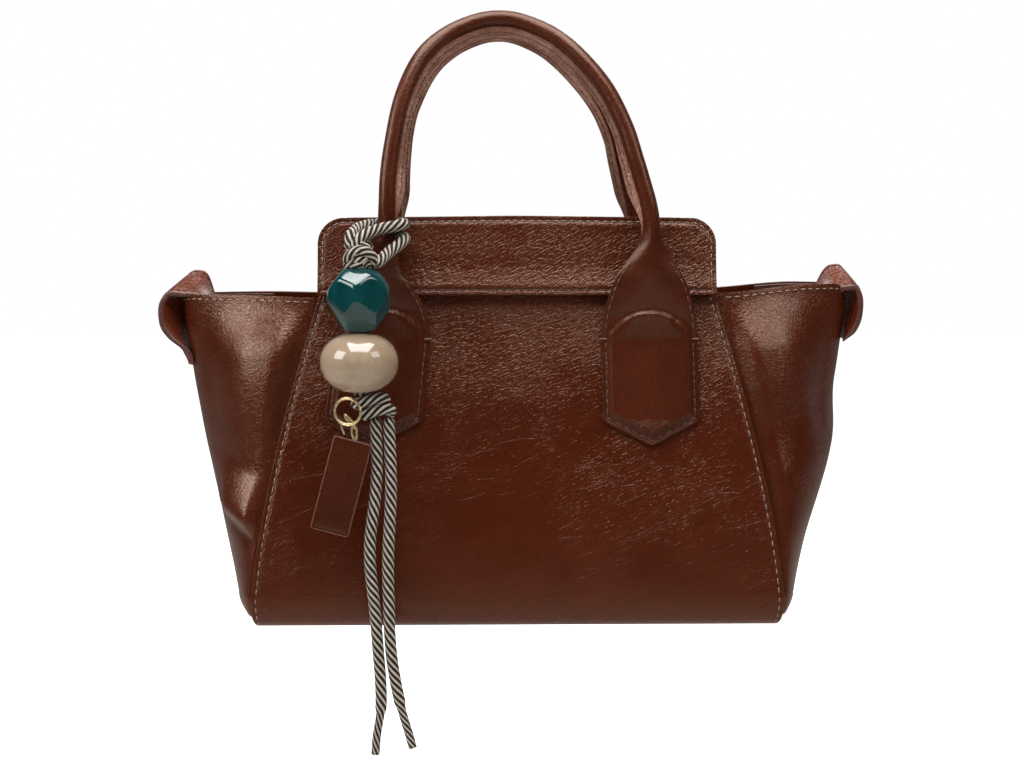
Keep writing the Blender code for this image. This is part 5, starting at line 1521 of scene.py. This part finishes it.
def tab_seam(side, x, lean):
    """Line inside the tab's outline from its top left corner round the tip to its top right one."""
    top = -2 * MM
    half = TAB_HALF_WIDTH - SEAM_INSET
    corner = -TAB_SIDE_DROP + SEAM_INSET * 0.75
    tip = -TAB_TIP_DROP + SEAM_INSET * hypot(1, TAB_SLOPE)
    line = [(-half, mix(top, corner, n / 20)) for n in range(21)]
    line += [(-half + half * n / 14, mix(corner, tip, n / 14)) for n in range(1, 15)]
    line += [(half * n / 14, mix(tip, corner, n / 14)) for n in range(1, 15)]
    line += [(half, mix(corner, top, n / 20)) for n in range(1, 21)]
    wall, out = wall_axes(side)
    face = out * (SEAT_GAP + TAB_THICKNESS - 0.25 * MM)
    return [(fold_place(side, x) + Vector((dx + lean * y, 0, 0)) + wall * y + face, out) for dx, y in line]


def bar_tack(side, x):
    """Line of the short thick stitch at a tab's upper corner."""
    wall, out = wall_axes(side)
    middle = fold_place(side, x) - wall * 2.2 * MM + out * (SEAT_GAP + TAB_THICKNESS + 0.1 * MM)
    return [(middle + Vector((dx * MM, 0, 0)), out) for dx in (-2.4, 0, 2.4)]


# Strap loops


# Strap's section: shares of its half width and of its half thickness, with a groove along each edge
STRAP_PROFILE = [
    (-1.0, -0.35), (-1.0, 0.35), (-0.985, 0.7), (-0.95, 1.0), (-0.86, 1.0), (-0.8, 0.86), (-0.74, 1.0),
    (-0.4, 1.06), (0.0, 1.08), (0.4, 1.06), (0.74, 1.0), (0.8, 0.86), (0.86, 1.0), (0.95, 1.0),
    (0.985, 0.7), (1.0, 0.35), (1.0, -0.35), (0.985, -0.7), (0.95, -1.0), (0.5, -1.0), (0.0, -1.0),
    (-0.5, -1.0), (-0.95, -1.0), (-0.985, -0.7),
]


def strap_route(side):
    """Centre line of a strap from its outer end over the nose, with the outward share as its y, in mm."""
    reach, _, raised = STRAP_SETS[side]
    route = []
    for out, rise in LOOP_SHARES:
        if side > 0 and rise < 0.45 and out > 0:
            continue
        span = reach if out > 0 else STRAP_INNER_REACH
        level = STRAP_FOOT + STRAP_HEIGHT * rise
        route.append(Vector((wing_reach(level) + span * out, out * MM, level + raised)))
    return smooth_route(route, 1.4 * MM)


def strap_point(side, station, width, face):
    """A point of the strap: width from -1 to 1 across it, face from -1 to 1 through it."""
    place, out, thick, lean, wrap = station
    shift = Vector((-width * lean * STRAP_SETS[side][1] - wrap * width**2, width * STRAP_HALF_WIDTH,
                    width * lean * STRAP_LIFT))
    point = place + out * face * thick + shift
    return Vector((side * point.x, point.y, point.z))


def strap_stations(side):
    """Place, outward direction, half thickness, lean and wrap of a strap's sections."""
    route = strap_route(side)
    stations = []
    for index, marked in enumerate(route):
        before = route[max(0, index - 1)]
        after = route[min(len(route) - 1, index + 1)]
        along = Vector((after.x - before.x, 0, after.z - before.z)).normalized()
        outside = smoothstep(-1.15, -0.25, marked.y / MM)
        rise = (marked.z - STRAP_FOOT - STRAP_SETS[side][2]) / STRAP_HEIGHT
        stations.append((
            Vector((marked.x, 0, marked.z)),
            Vector((along.z, 0, -along.x)),
            STRAP_THICKNESS / 2 * mix(0.35, 1.0, smoothstep(0, 5, index)),
            smoothstep(0.35, 0.75, rise) * outside,
            STRAP_WRAP * smoothstep(0.60, 0.36, rise) * outside,
        ))
    return stations


def make_strap_loop(side, name):
    """A folded strap astride a wing's nose, its edges painted and sewn along both sides."""
    stations = strap_stations(side)
    profile = STRAP_PROFILE[::-1] if side > 0 else STRAP_PROFILE
    rings = [[strap_point(side, station, width, face) for width, face in profile] for station in stations]
    points, faces, chart = grid(rings, around=True, caps=True)
    edges = [int(max(abs(profile[n - 1][0]), abs(profile[n][0])) > 0.96) for n in range(len(profile))]
    slots = (edges[1:] + edges[:1]) * (len(rings) - 1) + [1, 1]
    made = make_piece(f"{name}_strap_leather", points, faces, ["strap", "edge"], "bag", chart, slots)
    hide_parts(f"{name}_strap_loop")
    seams = [
        [(strap_point(side, station, width, 0.9), Vector((side * station[1].x, 0, station[1].z)))
         for station in stations]
        for width in (-0.8, 0.8)
    ]
    stitches(f"{name}_strap_stitches", seams, "bag", length=2.4 * MM, gap=1.2 * MM, radius=0.22 * MM,
             finish="dark_thread", holes=False)


# Charm


def tail_share(reach):
    """Share of the full radius at a distance from a tail's cut end, where the cord is thinner."""
    return mix(TAIL_END_SHARE, 1.0, smoothstep(TAIL_END_LENGTH - 4 * MM, TAIL_END_LENGTH, reach))


def make_tails():
    """The two hanging tails of the charm's cord, cut off bare at their ends."""
    for name, route in (("left_tail", LEFT_TAIL_ROUTE), ("right_tail", RIGHT_TAIL_ROUTE)):
        points = smooth_route(route, 0.8 * MM)
        cap = [radians(degrees) for degrees in (80, 60, 40, 20)]
        top = [points[0] + Vector((0, 0, 1)) * CORD_RADIUS * sin(angle) for angle in cap]
        shares = [cos(angle) for angle in cap]
        shares += [tail_share((point - points[-1]).length) for point in points]
        made = rope(f"{name}_cord", top + points, name, shares=shares)
        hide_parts(name)
        lowered = [Vector((0, 0, BASE_LEVEL)) + point for point in points]
        length = running_lengths(points)[-1]


def make_loops():
    """The cord's two turns round the handle's leg."""
    for name, shares in (("upper_loop", UPPER_LOOP_SHARES), ("lower_loop", LOWER_LOOP_SHARES)):
        points = [LEG_PLACE + Vector(share) * LOOP_UNIT for share in shares]
        made = cord_turn(f"{name}_striped", points, 0.8 * MM, "front_handle")
        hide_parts(f"{name}_cord")


# Turns of the knot in millimetres above the base's underside, and each one's share of the cord's radius
KNOT_TURNS = [
    [(-81.6, -69.8, 183.8), (-82.4, -73.4, 185.9), (-80.4, -75.6, 188.4), (-77.0, -76.2, 189.9),
     (-73.4, -75.8, 189.2), (-70.9, -74.2, 186.8), (-70.6, -72.2, 184.0), (-71.8, -70.0, 182.8)],
    [(-82.6, -69.6, 182.4), (-82.2, -73.2, 182.7), (-79.4, -75.2, 184.0), (-76.0, -75.9, 185.5),
     (-73.6, -74.6, 186.2)],
    [(-78.0, -74.8, 182.4), (-75.4, -75.6, 183.2), (-73.4, -75.0, 184.2), (-72.4, -72.6, 183.0)],
    [(-76.4, -70.4, 192.6), (-74.4, -72.6, 191.4), (-72.6, -73.2, 189.4), (-71.6, -71.6, 187.2)],
]
KNOT_SHARES = (0.95, 0.88, 0.78, 0.80)


def box_middle(name):
    """Middle of a solid of the frame, by its height above the underside of the base."""
    low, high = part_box(name)
    return (low + high) / 2 - Vector((0, 0, BASE_LEVEL))


def make_knot():
    """The knot over the beads: a broad turn in front, shorter ones under it and two rounds inside."""
    for number, turn in enumerate(KNOT_TURNS):
        points = [Vector(place) * MM for place in turn]
        radius = CORD_RADIUS * KNOT_SHARES[number]
        made = cord_turn(f"charm_knot_turn_{number + 1}", points, 0.7 * MM, "charm", radius)
        if number == 0:
            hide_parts("charm_knot")
    middle = box_middle("charm_knot")
    for number, height in enumerate((183.4, 188.2)):
        route = []
        for n in range(37):
            angle = 2 * pi * n / 36
            out = Vector((cos(angle), sin(angle), 0)) * 3.9 * MM
            route.append(Vector((middle.x, middle.y, height * MM)) + out)
        rope(f"charm_knot_round_{number + 1}", route, "charm", radius=2.6 * MM)


def make_bead_cord():
    """The straight length of cord inside the beads."""
    low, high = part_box("bead_cord")
    middle = box_middle("bead_cord")
    route = [Vector((middle.x, middle.y, mix(low.z, high.z, n / 60) - BASE_LEVEL)) for n in range(61)]
    made = rope("bead_cord_striped", route, "charm")
    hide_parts("bead_cord")


def soft_least(values, blend):
    """The least of some values, with soft corners where two are near."""
    least = min(values)
    total = sum(exp(-(value - least) / blend) for value in values)
    return least - blend * log(total)


# Flat cuts of the teal bead: outward direction, and distance as a share of the reach that way
NUGGET_CUTS = [
    ((-0.58, -0.81, 0.05), 0.85), ((0.52, -0.84, 0.12), 0.86), ((-0.16, -0.62, 0.76), 0.955),
    ((0.06, -0.86, -0.50), 0.86), ((-0.74, -0.55, -0.40), 0.89), ((0.86, -0.42, -0.28), 0.91),
    ((-0.865, 0.0, -0.503), 0.86), ((-0.80, 0.0, 0.60), 0.95), ((0.80, 0.0, -0.60), 0.95),
    ((-0.60, 0.70, 0.30), 0.86), ((0.60, 0.72, 0.25), 0.86), ((0.05, 0.85, -0.45), 0.86),
]


BEAD_ROWS = 56
BEAD_SIDES = 80


def bead_rows(half_width, half_height, power, bore, cuts=()):
    """Rows of a bead from its lower bore edge to its upper one, then down through the bore."""
    rows = []
    for row in range(BEAD_ROWS + 1):
        angle = -pi / 2 + pi * row / BEAD_ROWS
        ring = abs(cos(angle)) ** (2 / power)
        tall = abs(sin(angle)) ** (2 / power) * (1 if angle >= 0 else -1)
        wide = max(bore, ring * half_width)
        points = []
        for number in range(BEAD_SIDES):
            turn = 2 * pi * number / BEAD_SIDES
            place = Vector((wide * cos(turn), wide * sin(turn), tall * half_height))
            if cuts and ring * half_width > bore:
                place = cut_back(place, half_width, half_height, cuts)
            points.append(place)
        rows.append(points)
    return rows


def cut_back(place, half_width, half_height, cuts):
    """Move a point towards the middle until it lies within every soft flat cut."""
    scales = [1.0]
    for direction, depth in cuts:
        normal = Vector(direction).normalized()
        surface = Vector((normal.x * half_width, normal.y * half_width, normal.z * half_height))
        reach = depth * surface.length
        along = place.dot(normal)
        if along > 0.25 * reach:
            scales.append(reach / along)
    return place * soft_least(scales, 0.016)


def make_bead(name, power, cuts, finish, wide=1.0, tall=1.0, lift=0.0):
    """A bored bead at its solid's place: a higher power makes it squarer, and cuts give it flats."""
    low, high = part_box(name)
    centre = box_middle(name) + Vector((0, 0, lift))
    half_width = (high.x - low.x) / 2 * wide
    half_height = (high.z - low.z) / 2 * tall
    rows = bead_rows(half_width, half_height, power, CORD_RADIUS + 0.3 * MM, cuts)
    rows = [[centre + point for point in row] for row in rows]
    points, faces, chart = grid(rows, around=True, lengthwise=True)
    made = make_piece(f"{name}_polished", points, faces, [finish], name.split("_")[0], chart)
    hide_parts(name)


# Turns of the wrap in millimetres above the base's underside
WRAP_TURNS = [
    [(-78.4, -70.3, 115.2), (-78.9, -72.6, 116.0), (-77.4, -74.0, 116.4), (-74.8, -74.4, 117.0),
     (-71.2, -74.3, 117.9), (-67.8, -73.6, 118.4), (-65.6, -71.6, 118.0), (-65.2, -69.0, 116.6)],
    [(-74.8, -69.6, 110.0), (-74.4, -72.2, 110.6), (-71.6, -73.6, 111.7), (-68.2, -73.8, 112.8),
     (-65.0, -73.0, 113.2), (-62.8, -70.8, 112.6), (-62.5, -68.4, 111.2)],
]


def make_wrap():
    """The cord's two short turns under the beads: one to the ring, the other over the tails' tops."""
    for number, turn in enumerate(WRAP_TURNS):
        points = [Vector(place) * MM for place in turn]
        made = cord_turn(f"lower_wrap_turn_{number + 1}", points, 0.7 * MM, "charm")
        if number == 0:
            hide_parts("lower_wrap")


# Wire of the rings, and the ends of the two links in millimetres above the base's underside
SPLIT_WIRE_RADIUS = 0.58 * MM
LINK_WIRE_RADIUS = 0.62 * MM
LINK_ENDS = [(-84.4, -72.6, 110.3), (-79.7, -73.2, 103.8)]
LINK_TAIL = [(-86.4, -73.0, 106.2), (-86.0, -73.4, 104.2), (-85.2, -73.5, 102.0), (-84.9, -73.3, 100.8)]
DROP_ENDS = [(-80.3, -73.4, 105.2), (-79.6, -73.2, 97.3)]


def long_link(top, bottom, half_width, waist=0.0, turn=0.0):
    """A closed route round a long narrow link between two places; turn swings its flat face."""
    along = (bottom - top) / 2
    centre = (top + bottom) / 2
    across = Vector((along.z, 0, -along.x)).normalized()
    across = (across * cos(turn) + Vector((0, 1, 0)) * sin(turn)) * half_width
    route = []
    for n in range(72):
        angle = 2 * pi * n / 72
        width = sin(angle) * (1 - waist * cos(angle))
        route.append(centre + along * cos(angle) + across * width)
    return route


def make_split_ring():
    """Two coils of springy wire, pushed apart where they pass each other."""
    low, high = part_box("split_ring")
    centre = box_middle("split_ring")
    radius = (high.x - low.x) / 2 - SPLIT_WIRE_RADIUS
    coil = []
    for n in range(241):
        angle = 2 * pi * 1.93 * n / 240 + 0.7
        shift = mix(-0.66, 0.66, smoothstep(0.40, 0.60, n / 240)) * MM
        coil.append(centre + Vector((radius * cos(angle), shift - 2.6 * MM - 3.4 * MM * cos(angle),
                                     radius * sin(angle) + shift * 0.35)))
    made = wire("split_ring_coils", coil, SPLIT_WIRE_RADIUS, "ring")
    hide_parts("split_ring")


def make_links():
    """The long link through the split ring with its loose end, and the pointed drop that holds the tag."""
    top, bottom = [Vector(place) * MM for place in LINK_ENDS]
    made = wire("link_ring_wire", long_link(top, bottom, 1.5 * MM, turn=0.9), LINK_WIRE_RADIUS, "ring",
                closed=True)
    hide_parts("link_ring")
    bar = smooth_route([Vector(place) * MM for place in LINK_TAIL], 0.4 * MM)
    wire("link_ring_tail", bar, 0.55 * MM, "ring")
    top, bottom = [Vector(place) * MM for place in DROP_ENDS]
    made = wire("drop_ring_wire", long_link(top, bottom, 1.15 * MM, waist=0.35), LINK_WIRE_RADIUS, "tag",
                closed=True)
    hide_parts("drop_ring")


# Tag


def rounded_outline(half_width, half_length, corner, steps):
    """Places round a rectangle with round corners, anticlockwise from its right side."""
    outline = []
    for quadrant, (sx, sy) in enumerate(((1, 1), (-1, 1), (-1, -1), (1, -1))):
        for n in range(steps + 1):
            angle = pi / 2 * (quadrant + n / steps)
            outline.append((sx * (half_width - corner) + corner * cos(angle),
                            sy * (half_length - corner) + corner * sin(angle)))
    return outline


TAG_TILT = radians(14.9)
TAG_HALF_WIDTH = 9.6 * MM
TAG_LENGTH = 47.0 * MM
TAG_THICKNESS = 2.0 * MM
TAG_CORNER = 1.4 * MM
# Section of the tag's edge: inset in millimetres, and level as a share of half its thickness
TAG_PROFILE = ((0.9, -1.0), (0.25, -0.95), (0.0, -0.6), (0.0, 0.6), (0.25, 0.95), (0.6, 1.0), (1.1, 0.86),
               (1.6, 1.0), (4.0, 1.05))


def make_tag():
    """The leather tag: two layers with a painted edge, hung by a small hole at its top."""
    middle = box_middle("leather_tag") - Vector((1.5 * MM, 0, 2.0 * MM))
    side = Vector((cos(TAG_TILT), 0, -sin(TAG_TILT)))
    up = Vector((sin(TAG_TILT), 0, cos(TAG_TILT)))
    out = Vector((0, -1, 0))
    rings = []
    for inset, level in TAG_PROFILE:
        outline = rounded_outline(TAG_HALF_WIDTH - inset * MM, TAG_LENGTH / 2 - inset * MM,
                                  max(TAG_CORNER - inset * MM, 0.3 * MM), 6)
        rings.append([middle + side * x + up * y + out * level * TAG_THICKNESS / 2 for x, y in outline])
    points, faces, chart = grid(rings, around=True, caps=True)
    painted = 5 * len(rings[0])
    slots = [1] * painted + [0] * (len(faces) - painted)
    made = make_piece("leather_tag_sewn", points, faces, ["tag", "tag_edge"], "tag", chart, slots)
    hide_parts("leather_tag")


BASE_CORNER = 10.0 * MM
# Section of the base's edge from its upper face round to the middle of its lower one: inset and height
# in millimetres
BASE_PROFILE = ((1.5, 1.95), (0.4, 1.9), (0.0, 1.5), (0.0, 0.6), (0.4, 0.15), (1.1, 0.0), (3.0, 0.0),
                (20.0, 0.0), (40.0, 0.0))


def make_base():
    """The base: a rounded leather sheet between the panels' feet."""
    half_depth = wall_depth(FOOT_HEIGHT) - FOOT_RADIUS - 2.0 * MM
    half_width = wing_reach(FOOT_HEIGHT) - FOOT_RADIUS - 2.0 * MM
    rings = []
    for inset, level in BASE_PROFILE:
        outline = rounded_outline(half_width - inset * MM, half_depth - inset * MM,
                                  max(BASE_CORNER - inset * MM, 0.5 * MM), 8)
        rings.append([Vector((x, y, level * MM)) for x, y in reversed(outline)])
    points, faces, chart = grid(rings, around=True, caps=True)
    made = make_piece("base_leather", points, faces, ["panel"], "bag", chart)
    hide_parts("base_panel")


def make_wall_facing(side, name):
    """The leather facing sewn inside the mouth behind a collar."""
    half = RIM_HALF_WIDTH + SEAM_STEP - SEAM_LAP - 0.6 * MM
    rows = []
    for row in range(FACING_ROWS + 1):
        drop = mix(2.0 * MM, FACING_HEIGHT, row / FACING_ROWS)
        round_off = max(0.0, COLLAR_CORNER - drop)
        wide = half - COLLAR_CORNER + sqrt(COLLAR_CORNER**2 - round_off**2)
        depth, height = wall_point(BAG_HEIGHT - drop, FLANGE_INSET)
        wave = 0.15 * MM * rough((side, drop, 0.1), 30.0)
        rows.append([Vector((x, side * (depth - wave), height)) for x in spread(wide, 40)])
    made = shell(f"{name}_facing_leather", rows, FACING_THICKNESS, "facing", "edge", "bag", flip=side < 0)
    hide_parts(f"{name}_facing")
    depth, height = wall_point(BAG_HEIGHT - FACING_HEIGHT + SEAM_INSET, FLANGE_INSET + FACING_THICKNESS)
    seam = [(Vector((x, side * depth, height)), Vector((0, -side, 0))) for x in seam_places(half)]
    stitches(f"{name}_facing_stitches", [seam], "bag", finish="dark_thread")


def make_wing_facing(side, name):
    """The leather facing sewn inside a wing's rim."""
    rows = []
    for row in range(12):
        height = RIM_HEIGHT - 1.0 * MM - WING_FACING_HEIGHT * row / 11
        rows.append(inside_row(side, height, WING_THICKNESS + 0.6 * MM))
    made = shell(f"{name}_wing_facing_leather", rows, 1.2 * MM, "facing", "edge", "bag", flip=side > 0)
    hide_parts(f"{name}_gusset_facing")
    low = inside_row(side, RIM_HEIGHT - WING_FACING_HEIGHT + 1.4 * MM, WING_THICKNESS + 1.8 * MM)
    seam = []
    for before, place, after in zip(low, low[1:], low[2:]):
        across = after - before
        seam.append((place, Vector((across.y, -across.x, 0)).normalized() * side))
    stitches(f"{name}_wing_facing_stitches", [seam], "bag", finish="dark_thread")


def inside_row(side, height, inset):
    """A row inside a wing, from its front part round the nose to its back part."""
    _, level = wall_point(height, FLANGE_INSET)
    half = []
    for column in range(FACING_COLUMNS + 1):
        t = mix(1 / 3, 1.0, column / FACING_COLUMNS)
        place, normal = wing_place(height, t)
        inside = place - normal * inset
        half.append(Vector((inside.x, -max(0.0, inside.y), level + rim_lift(side, t, height))))
    return mirrored_row(half, side)


def lining_ring(height, draw_in, level):
    """One closed ring of the loose lining at a height, drawn in at the floor of the bag."""
    depth, _ = wall_point(height, LINING_INSET)
    depth -= draw_in
    flat = seam_half_width(height) - LINING_CORNER_INSET - draw_in
    quarter = [Vector((flat * n / 16, -depth, level)) for n in range(17)]
    for column in range(1, 19):
        place, normal = wing_place(height, mix(1 / 3, 1.0, column / 18))
        inside = place - normal * LINING_SIDE_INSET
        quarter.append(Vector((inside.x - draw_in, max(-max(0.0, inside.y), -depth + SEAM_STEP), level)))
    ring = list(quarter)
    ring += [Vector((p.x, -p.y, level)) for p in reversed(quarter[:-1])]
    ring += [Vector((-p.x, -p.y, level)) for p in quarter[1:]]
    ring += [Vector((-p.x, p.y, level)) for p in reversed(quarter[1:-1])]
    return ring


def make_lining():
    """The cloth lining: sewn under the facings, loose in soft folds, down to the floor of the bag."""
    top = RIM_HEIGHT - LINING_DROP
    rings = []
    for row in range(LINING_ROWS + 1):
        height = mix(top, FOOT_HEIGHT, row / LINING_ROWS)
        slack = smoothstep(0, 14 * MM, top - height)
        ring = lining_ring(height, 0.0, height)
        for point in ring:
            fold = 0.5 + 0.5 * rough((point.x, point.y, point.z * 0.4), 34.0, 7.0)
            fold = max(0.0, fold) * 1.6 * MM * slack
            point -= Vector((point.x, point.y, 0)).normalized() * fold
        rings.append(ring)
    last = lining_ring(FOOT_HEIGHT, 10.0 * MM, LINING_FLOOR)
    for share in (1.0, 0.85, 0.68, 0.5, 0.32, 0.16, 0.01):
        ring = []
        for point in last:
            place = Vector((point.x * share, point.y * share, LINING_FLOOR))
            wave = max(0.0, rough((place.x, place.y, 0), 30.0, 3.0))
            place.z += 0.5 * MM * wave * smoothstep(1.0, 0.8, share)
            ring.append(place)
        rings.append(ring)
    made = shell("lining_cloth", rings, LINING_THICKNESS, "lining", "lining", "bag", around=True,
                 round_edge=0)
    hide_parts("lining")
    around = running_lengths(rings[0] + rings[0][:1])[-1]
    down = running_lengths([ring[0] for ring in rings])[-1]


def make_core(side, name):
    """The laid rope inside a handle."""
    route = [place for place, _, _, height, _ in handle_stations(side) if height > TEAR_HEIGHT * 1.02]
    route = even_steps(route, 1.4 * MM)
    made = rope(f"{name}_handle_rope", route, f"{name}_handle", radius=2.2 * MM, finish="rope", ridge=0.14)
    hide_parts(f"{name}_handle_core")


def dress_frame():
    """Finishes for the frame's own solids that stay: boards, fillers and the snap."""
    for name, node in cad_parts.items():
        board = name.endswith("filler") or name == "base_board"
        if board or name.startswith("snap_"):
            node.data.materials.clear()
            node.data.materials.append(FINISHES["board" if board else "metal"])


# Light and floor


def area_light(name, place, target, size, power):
    data = bpy.data.lights.new(name, "AREA")
    data.shape = "RECTANGLE"
    data.size, data.size_y = size
    data.energy = power
    light = add_object(name, data)
    light.location = place
    aim = Vector(target) - Vector(place)
    light.rotation_euler = aim.to_track_quat("-Z", "Y").to_euler()


FLOOR_GAP = 0.16
# Lamps: name, place, the place aimed at, size in metres and power in watts
LAMPS = [
    ("top softbox", (-0.02, -0.30, 0.72), (-0.02, -0.22, -0.15), (0.85, 0.85), 20),
    ("left softbox", (-0.99, -0.50, 0.40), (-0.13, -0.03, -0.18), (0.62, 0.62), 8.4),
    ("right softbox", (0.82, -0.60, 0.52), (0.13, -0.03, -0.16), (0.50, 0.50), 3.5),
    ("back fill", (0.1, 1.5, 0.9), (0, 0, -0.2), (1.2, 0.9), 8),
]


def make_studio():
    for lamp in LAMPS:
        area_light(*lamp)
    make_world()
    make_floor()


def ray_kinds(tree, *kinds):
    """A signal for each kind of ray, 1 on rays of that kind and 0 on others."""
    rays = add_node(tree, "ShaderNodeLightPath", {}, {}).socket.node
    return [Signal(tree, rays.outputs[f"Is {kind} Ray"]) for kind in kinds]


def make_world():
    """White to the camera; to the object, pale behind it and dark in front of it."""
    world = bpy.data.worlds.new("studio")
    bpy.context.scene.world = world
    world.use_nodes = True
    tree = world.node_tree
    background = tree.nodes["Background"]
    camera, glossy, through = ray_kinds(tree, "Camera", "Glossy", "Transmission")
    where = add_node(tree, "ShaderNodeTexCoord", {}, {}, "Generated")
    behind = add_node(tree, "ShaderNodeSeparateXYZ", {}, {0: where}, "Y").step(0.20, 0.95)
    room = 0.010 + 0.45 * behind
    seen = camera + through * (1 - camera)
    strength = seen + (glossy * room + (1 - glossy) * 0.42) * (1 - seen)
    feed(tree, background.inputs["Strength"], strength)
    feed(tree, background.inputs["Color"], (1, 1, 1, 1))


def make_floor():
    """A pale floor below the hanging tails; to the camera it is white outside the object's shadow."""
    level = CAD_BOX[0].z - FLOOR_GAP
    points = [(-5, -1.25, level), (5, -1.25, level), (5, 6, level), (-5, 6, level)]
    mesh = bpy.data.meshes.new("floor")
    mesh.from_pydata(points, [], [(0, 1, 2, 3)])
    pale = Finish("pale floor", roughness=0.9, specular=0.1)
    camera, glossy = ray_kinds(pale.tree, "Camera", "Glossy")
    pale.set("Emission Strength", camera * 0.80)
    pale.set("Emission Color", (1, 1, 1, 1))
    pale.set("Base Color", pale.blend(glossy, (0.84, 0.84, 0.83, 1), (0.37, 0.32, 0.28, 1)))
    mesh.materials.append(pale.material)
    add_object("floor", mesh)


make_camera()
make_tails()
make_loops()
make_knot()
make_bead_cord()
make_bead("teal_bead", 2.3, NUGGET_CUTS, "teal", wide=1.0, tall=1.04, lift=2.0 * MM)
make_bead("cream_bead", 2.16, (), "cream", wide=1.02, tall=1.08, lift=1.9 * MM)
make_wrap()
make_split_ring()
make_links()
make_tag()
for wall_side, wall_name in WALLS:
    make_panel(wall_side, wall_name)
    make_collar(wall_side, wall_name)
for wing_side, wing_name in WINGS:
    make_wing(wing_side, wing_name)
    make_strap_loop(wing_side, wing_name)
make_handle(-1, "front", (0.10, -0.02))
make_handle(1, "back", (0.0, 0.0))
make_base()
for wall_side, wall_name in WALLS:
    make_wall_facing(wall_side, wall_name)
for wing_side, wing_name in WINGS:
    make_wing_facing(wing_side, wing_name)
make_lining()
for wall_side, wall_name in WALLS:
    make_core(wall_side, wall_name)
dress_frame()
make_studio()

bpy.context.scene.view_settings.view_transform = "Standard"
